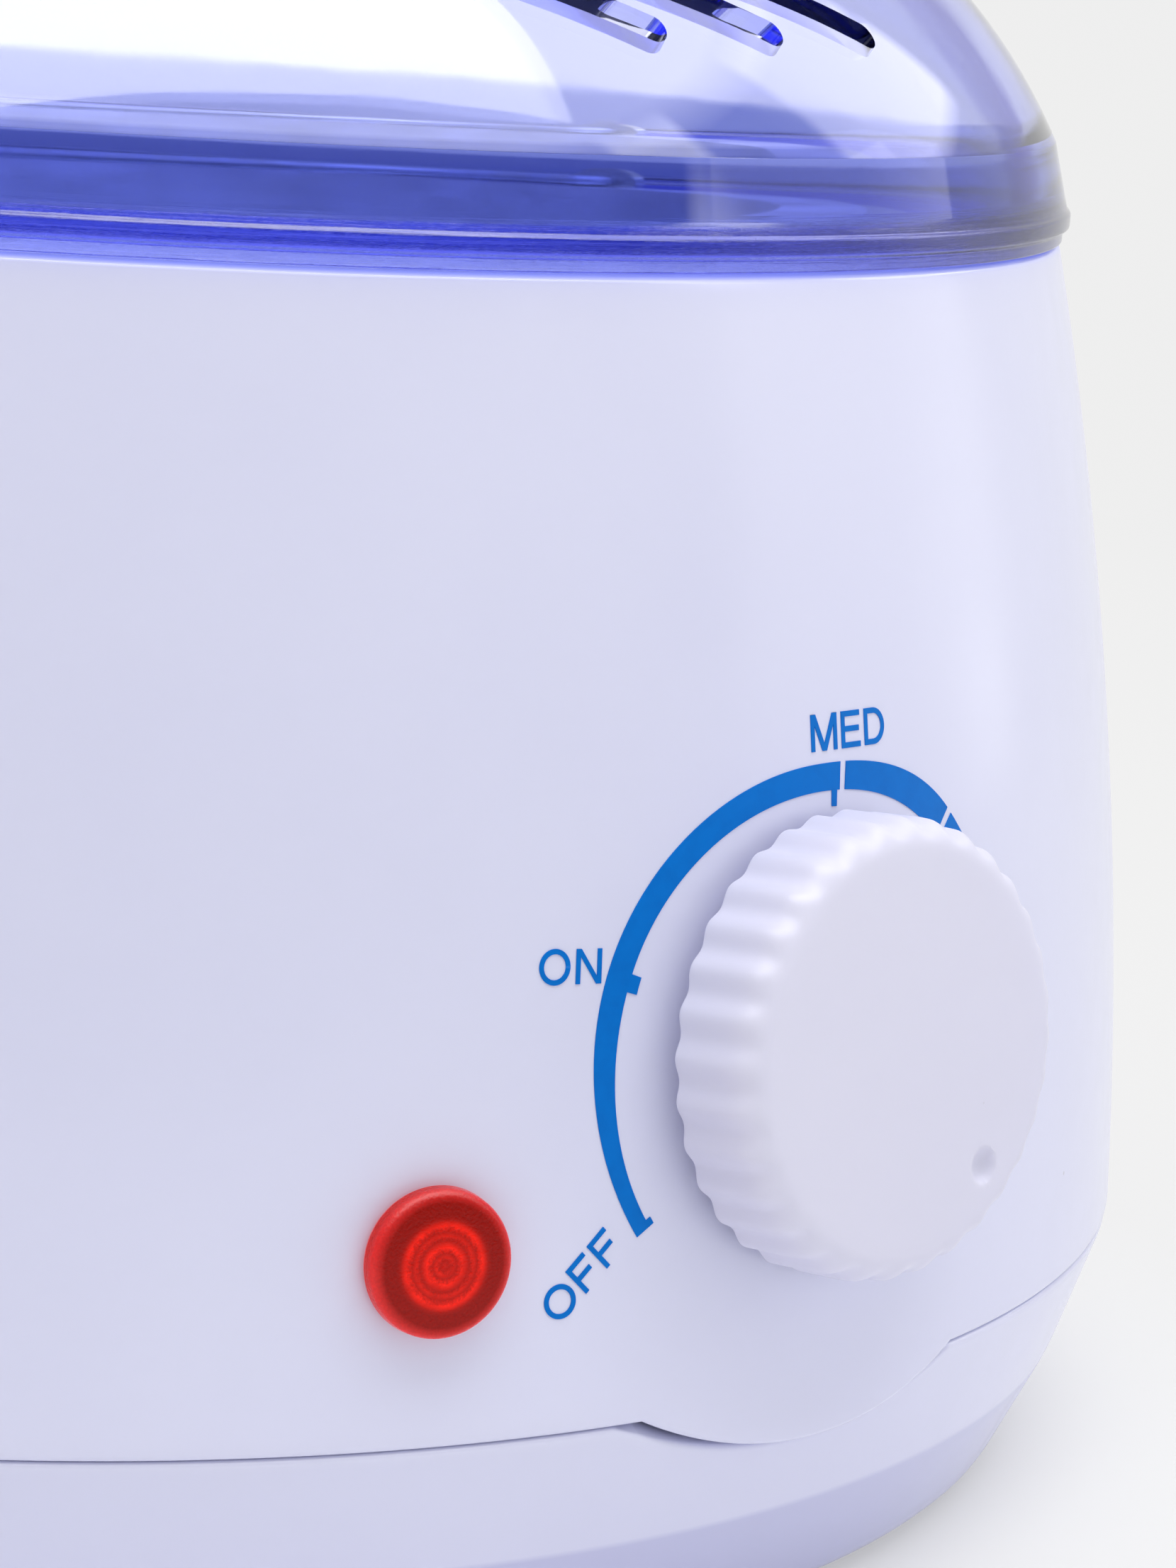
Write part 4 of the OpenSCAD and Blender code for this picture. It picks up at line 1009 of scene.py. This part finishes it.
def stroke_mesh(start, end, inner, outer):
    """A thin band on the wall between two angles; inner and outer give its radii at an angle."""
    rings = []
    for angle in np.linspace(start, end, max(3, int(abs(end - start) / 1.5))):
        c, s = math.cos(math.radians(angle)), math.sin(math.radians(angle))
        low, high = inner(angle), outer(angle)
        rings.append([on_dial(r * c, r * s, t) for r, t in ((low, 0), (low, PRINT_T), (high, PRINT_T), (high, 0))])
    return skin("stroke", rings, capped=True)


# Letters, in cap heights
LETTER_STROKE = 0.15
LETTER_GAP = 0.19
LETTER_TOP = 1 - LETTER_STROKE


def bar(left, low, right, high):
    """An upright or level stroke of a letter, as points along its two edges."""
    return [(left, low), (left, high)], [(right, low), (right, high)]


def slant(top, foot):
    """A sloping stroke from the top line to the foot line, cut level at both ends."""
    wide = LETTER_STROKE * 1.15
    return [(foot, 0), (top, 1)], [(foot + wide, 0), (top + wide, 1)]


def bow(middle, reach_x, reach_y, start, end):
    """A round stroke between two angles."""
    angles = np.radians(np.linspace(start, end, 3 + int(abs(end - start) / 6)))
    t = LETTER_STROKE
    outer = [(middle + reach_x * math.cos(a), 0.5 + reach_y * math.sin(a)) for a in angles]
    inner = [(middle + (reach_x - t) * math.cos(a), 0.5 + (reach_y - t) * math.sin(a)) for a in angles]
    return outer, inner


def stem(left):
    """An upright stroke of full height."""
    return bar(left, 0, left + LETTER_STROKE, 1)


def arm(low, right):
    """A level stroke that runs out from a stem."""
    return bar(LETTER_STROKE - 0.005, low, right, low + LETTER_STROKE)


LETTERS = {
    "D": (0.90, [stem(0), arm(0, 0.42), arm(LETTER_TOP, 0.42), bow(0.40, 0.5, 0.5, -90, 90)]),
    "E": (0.82, [stem(0), arm(0, 0.82), arm(0.44, 0.76), arm(LETTER_TOP, 0.8)]),
    "F": (0.76, [stem(0), arm(0.42, 0.66), arm(LETTER_TOP, 0.76)]),
    "M": (1.08, [stem(0), stem(0.93), slant(0.02, 0.454), slant(0.888, 0.456)]),
    "N": (0.86, [stem(0), stem(0.71), slant(0, 0.687)]),
    "O": (1.02, [bow(0.51, 0.51, 0.52, 0, 360)]),
}


def word_meshes(word, u, v, turn, cap):
    """A word printed on the wall with letters of a cap height, its middle at u, v and turned."""
    total = sum(LETTERS[letter][0] for letter in word) + LETTER_GAP * (len(word) - 1)
    c, s = math.cos(math.radians(turn)), math.sin(math.radians(turn))
    along = -total / 2
    meshes = []

    def printed(point, lift):
        x, y = (along + point[0]) * cap, (point[1] - 0.5) * cap
        return on_dial(u + x * c - y * s, v + x * s + y * c, lift)

    for letter in word:
        wide, strokes = LETTERS[letter]
        for outer, inner in strokes:
            rings = [[printed(o, 0), printed(o, PRINT_T), printed(i, PRINT_T), printed(i, 0)]
                     for o, i in zip(outer, inner)]
            meshes.append(skin("letter", rings, capped=True))
        along += wide + LETTER_GAP
    return meshes


def make_print():
    stops = [STROKE[0][0], *GAP_ANGLES, STROKE[-1][0]]
    meshes = []
    for i, (start, end) in enumerate(zip(stops, stops[1:])):
        begin = start - (GAP_HALF if i else 0)
        finish = end + (GAP_HALF if i < len(stops) - 2 else 0)
        meshes.append(stroke_mesh(begin, finish, stroke_inner, lambda a: stroke_at(a)[0]))
    for angle, length, half in TICKS:
        root = stroke_inner(angle)
        meshes.append(stroke_mesh(angle + half, angle - half, lambda a: root - length, lambda a: root + 0.0003))
    for word in WORDS:
        meshes += word_meshes(*word)
    dial_print = join("dial_print", meshes)
    dial_print.data.materials[0] = INK
    dial_print.data.shade_smooth()
    dial_print.data.set_sharp_from_angle(angle=SHARP_ANGLE)
    placed(dial_print, "housing")


# Lamp

LAMP_TURN = -20.6
LAMP_Z = 0.0324
LAMP_R = 0.005
LAMP_REACH = 0.0021
LAMP_STEM_R = 0.0039


def make_lamp():
    place = on_wall(LAMP_TURN, LAMP_Z)
    plug = [(0, -0.002, 0), (LAMP_STEM_R, -0.002, 0), (LAMP_STEM_R, 0.00005, 0)]
    rim = [(LAMP_R - 0.0002, 0.00005, 0.0001), (LAMP_R, 0.0006, 0.0002)]
    rim.append((LAMP_R - 0.0001, LAMP_REACH - 0.0002, 0.0007))
    face = [(r, LAMP_REACH - 0.0002 * (r / LAMP_R) ** 2, 0) for r in np.linspace(LAMP_STEM_R, 0, 14)]
    outline = rounded(plug + rim + face, 8)
    mesh = turned("lamp_lens_cap", lambda turn: outline, even_turns(128), False)
    mesh.transform(place)
    placed(new_object("lamp_lens_cap", mesh, lamp_finish(place)), "housing", "red_lens", "lamp_lens")


# Pot's bail

BAIL_R = 0.0015
BAIL_CORNER = 0.020
BAIL_ELBOW = 0.0022
bail_low, bail_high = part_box("pot_bail")


def make_bail():
    """A wire bent to a bail, its ends turned out into the ears."""
    reach, far = bail_high.x, bail_high.y - BAIL_R
    leg_x = reach - 0.004
    z = (bail_low.z + bail_high.z) / 2
    half = rounded([(reach, 0, 0), (leg_x, 0, BAIL_ELBOW), (leg_x, far, BAIL_CORNER), (0, far, 0)], 12)
    path = [(x, y, z) for x, y in half] + [(-x, y, z) for x, y in half[-2::-1]]
    rings = []
    for i, point in enumerate(path):
        ahead = unit(np.array(path[min(i + 1, len(path) - 1)]) - np.array(path[max(i - 1, 0)]))
        out = np.array([ahead[1], -ahead[0], 0])
        rings.append([np.array(point) + BAIL_R * (out * math.cos(a) + np.array([0, 0, 1]) * math.sin(a))
                      for a in np.radians(even_turns(20))])
    bail = new_object("bail_wire", skin("bail_wire", rings, capped=True), BAIL_WIRE)
    placed(bail, "bail", "bail_wire", "pot_bail")


# Pieces that keep the shape of their CAD node
NODE_FINISHES = {
    STEEL: ("thermostat_shaft", "thermostat_nut", "lamp_clip", "clamp_plate",
            "heater_stud", "heater_nut", "fuse_clip"),
    BLACK: ("thermostat_body", "gland_nut"),
    BULB: ("lamp_bulb",),
    MICA: ("heater_disc",),
    FIBRE: ("insulation_disc", "insulation_wrap"),
    FUSE_SHELL: ("thermal_fuse",),
    CREAM: ("terminal_block",),
    BRASS: ("terminal_screws",),
    BROWN_WIRE: ("supply_wire",),
    RED_WIRE: ("fuse_wire", "heater_link_wire", "lamp_live_wire"),
    BLUE_WIRE: ("neutral_wire", "lamp_neutral_wire"),
}


def dress_nodes():
    for material, names in NODE_FINISHES.items():
        for name in names:
            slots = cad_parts[name].data.materials
            slots.clear()
            slots.append(material)
    smooth_copy("wax_pot", POT, "pot", "pot")
    smooth_copy("pot_ears", STEEL, "pot", "steel")
    smooth_copy("heating_well", WELL, "housing", "well")
    smooth_copy("well_gasket", SILICONE, "housing", "silicone")
    smooth_copy("well_screws", STEEL, "housing", "steel")
    smooth_copy("base_screws", STEEL, "housing", "steel")


make_housings()
make_lid()
make_feet()
make_gland()
make_knob()
make_print()
make_lamp()
make_bail()
dress_nodes()


# Stage: floor, lamps, camera

BACKGROUND = 0.86
FILL = 0.62
CEILING = 2.0
CEILING_RIGHT = 2.6
CEILING_FROM = (0.62, 0.70)
THROUGH_LID = 1.05
# Brightness of the room round the object, by angle from the camera's side
ROOM = ((-105, 0.86), (-90, 0.10), (100, 0.10), (115, 0.86), (180, 0.86))
# Windows in the room: left, right, low, high, brightness
WINDOWS = ((75, 88, 20, 42, 4.0), (107, 135, 20, 42, 2.5))
# A tinted ring far behind the lid, seen only through it
EDGE_TINT = (0.07, 0.05, 0.52, 1)
EDGE_AXIS = (0.207, 0.974, -0.087)
EDGE_RING = (34, 22.3)
VIEW_TURN = -38.6
VIEW_ANGLES = (7.05, 10.96, 3.87)
VIEW_FROM = (0, -0.37296, 0.12025)
VIEW_LENS = 107.0
FLOOR_SIZE = 1.2
# Radii over which the floor is darker for bounced light only, a painted shade round the base
FLOOR_BOUNCE_SHADE = (0.088, 0.130)
FLOOR_SHADOW = (0.084, 0.112)
FLOOR_FADE = (0.16, 0.6)
SHEET_AHEAD = 0.01


def make_world():
    """White for the camera and through the lid. Reflections see a room that is dark on the camera's side."""
    world = bpy.data.worlds.new("studio")
    scene.world = world
    world.use_nodes = True
    nodes = Nodes(world.node_tree)
    path = nodes.add("ShaderNodeLightPath").outputs
    way = nodes.add("ShaderNodeTexCoord").outputs["Generated"]
    way = nodes.out("ShaderNodeMapping", {"Vector": way, "Rotation": (0, 0, -math.radians(VIEW_TURN))})
    split = nodes.add("ShaderNodeSeparateXYZ", {0: way}).outputs
    azimuth = nodes.math("ARCTAN2", split[0], nodes.math("MULTIPLY", split[1], -1.0))
    ramp = nodes.add("ShaderNodeValToRGB", {"Fac": nodes.window(azimuth, -math.pi, math.pi)})
    stops = ramp.color_ramp.elements
    while len(stops) > 1:
        stops.remove(stops[-1])
    stops[0].position = 0
    stops[0].color = (BACKGROUND, BACKGROUND, BACKGROUND, 1)
    for angle, level in ROOM:
        stops.new((angle + 180) / 360).color = (level, level, level, 1)

    ceiling = nodes.math("MULTIPLY_ADD", nodes.math("MAXIMUM", split[0], 0.0), CEILING_RIGHT, CEILING)
    room = nodes.mix(nodes.window(split[2], *CEILING_FROM), ramp.outputs[0], ceiling)
    for left, right, low, high, strength in WINDOWS:
        across = nodes.between(azimuth, math.radians(left), math.radians(right), 0.02)
        upright = nodes.between(split[2], math.sin(math.radians(low)), math.sin(math.radians(high)), 0.02)
        room = nodes.math("MULTIPLY_ADD", nodes.math("MULTIPLY", across, upright), strength, room)
    outside = nodes.math("LESS_THAN", path["Transmission Depth"], 0.5)
    reflected = nodes.mix(nodes.math("MULTIPLY", path["Is Glossy Ray"], outside), FILL, room)

    through = path["Is Transmission Ray"]
    direct = nodes.math("MAXIMUM", path["Is Camera Ray"], through)
    level = nodes.mix(direct, reflected, nodes.mix(through, BACKGROUND, THROUGH_LID))
    toward = nodes.add("ShaderNodeVectorMath", {0: way, 1: EDGE_AXIS}, operation="DOT_PRODUCT").outputs["Value"]
    low, high = (math.cos(math.radians(angle)) for angle in EDGE_RING)
    edge = nodes.math("MULTIPLY", nodes.between(toward, low, high, 0.003), through)
    sky = nodes.tree.nodes["Background"].inputs
    nodes.tree.links.new(level, sky["Strength"])
    nodes.tree.links.new(nodes.blend(edge, (1, 1, 1, 1), EDGE_TINT), sky["Color"])


def flat_mesh(name, width, height, z=0.0):
    """A flat rectangle about the origin."""
    x, y = width / 2, height / 2
    mesh = bpy.data.meshes.new(name)
    mesh.from_pydata([(-x, -y, z), (x, -y, z), (x, y, z), (-x, y, z)], [], [(0, 1, 2, 3)])
    return mesh


def make_floor():
    """A pale floor that keeps a lightened shadow near the object and fades into the background further out; near
    the object it is darker and bluer for bounced light only, as painted shade.
    """
    finish = Finish("pale_floor", (0.93, 0.93, 0.925), 0.9, Specular_IOR_Level=0.1)
    path = finish.add("ShaderNodeLightPath").outputs
    radius = finish.radius()
    # Painted shade: near the object the floor is darker and bluer for bounced light only, so the base's lower facet
    # gets less bounce
    near = finish.window(radius, *FLOOR_BOUNCE_SHADE, 1.0, 0.0)
    finish.tint((0.85, 0.85, 0.90), finish.math("MULTIPLY", near, path["Is Diffuse Ray"]))
    shadow = finish.window(radius, *FLOOR_SHADOW, 0.45, 0.85)
    far = finish.math("MAXIMUM", finish.window(radius, *FLOOR_FADE), shadow)
    seen = finish.math("MAXIMUM", path["Is Camera Ray"], path["Is Glossy Ray"])
    seen = finish.math("MAXIMUM", seen, path["Is Transmission Ray"])
    share = finish.math("MULTIPLY", far, seen)
    glow = finish.add("ShaderNodeEmission", {"Color": (1, 1, 1, 1), "Strength": BACKGROUND})
    mix = finish.add("ShaderNodeMixShader", {0: share, 1: finish.shader.outputs[0], 2: glow.outputs[0]})
    finish.surface(mix.outputs[0])
    new_object("floor", flat_mesh("floor", FLOOR_SIZE, FLOOR_SIZE), finish.material)


def from_view(x, y, z):
    """A place given with +Y away from the camera, turned into the object's frame."""
    return Matrix.Rotation(math.radians(VIEW_TURN), 3, "Z") @ Vector((x, y, z))


def panel_place(centre, along, up):
    """Where a panel hangs; along and up are its sides, and its back is towards along x up."""
    along, up = from_view(*along).normalized(), from_view(*up).normalized()
    away = along.cross(up).normalized()
    turn = Matrix((along, away.cross(along), away)).transposed()
    return Matrix.Translation(from_view(*centre)) @ turn.to_4x4()


def make_lamp_panel(name, centre, along, up, width, height, power):
    """A soft panel lamp."""
    data = bpy.data.lights.new(name, "AREA")
    data.shape = "RECTANGLE"
    data.size, data.size_y, data.energy = width, height, power
    lamp = bpy.data.objects.new(name, data)
    lamp.matrix_world = panel_place(centre, along, up)
    lamp.visible_camera = False
    scene.collection.objects.link(lamp)


def make_gloss_sheet(name, centre, along, up, width, height, strength):
    """A bright sheet just in front of a panel that only reflections see."""
    finish = Finish(name, (1, 1, 1), 0.5)
    glow = finish.add("ShaderNodeEmission", {"Color": (1, 1, 1, 1), "Strength": strength})
    finish.surface(glow.outputs[0])
    mesh = flat_mesh(name, width, height, -SHEET_AHEAD)
    mesh.transform(panel_place(centre, along, up))
    sheet = new_object(name, mesh, finish.material)
    sheet.visible_camera = sheet.visible_diffuse = sheet.visible_transmission = sheet.visible_shadow = False


def make_camera():
    """The photograph's view: about 0.39 m from the axis, a little above the lid's shoulder."""
    yaw, pitch, roll = (math.radians(a) for a in VIEW_ANGLES)
    ahead = Vector((math.sin(yaw) * math.cos(pitch), math.cos(yaw) * math.cos(pitch), -math.sin(pitch)))
    level = Vector((math.cos(yaw), -math.sin(yaw), 0))
    upright = level.cross(ahead)
    right = math.cos(roll) * level + math.sin(roll) * upright
    up = -math.sin(roll) * level + math.cos(roll) * upright
    turn = Matrix((from_view(*right), from_view(*up), from_view(*-ahead))).transposed()
    data = bpy.data.cameras.new("camera")
    data.sensor_width = 36
    data.lens = VIEW_LENS
    data.clip_start = 0.01
    camera = bpy.data.objects.new("camera", data)
    camera.matrix_world = Matrix.Translation(from_view(*VIEW_FROM)) @ turn.to_4x4()
    scene.collection.objects.link(camera)
    scene.camera = camera


# Place of the main panel: centre, two sides, width, height
KEY_PLACE = ((0.051, -0.22, 0.916), (0.93, 0.365, 0), (-0.254, 0.646, 0.72), 1.0, 0.6)

make_world()
make_floor()
make_lamp_panel("key_panel", *KEY_PLACE, 6.0)
make_gloss_sheet("gloss_sheet", *KEY_PLACE, 7.5)
make_lamp_panel("right_panel", (0.85, 0.05, 0.30), (0, 1, 0), (0.3, 0, 1), 0.6, 0.6, 1.0)
make_camera()
scene.view_settings.view_transform = "Standard"
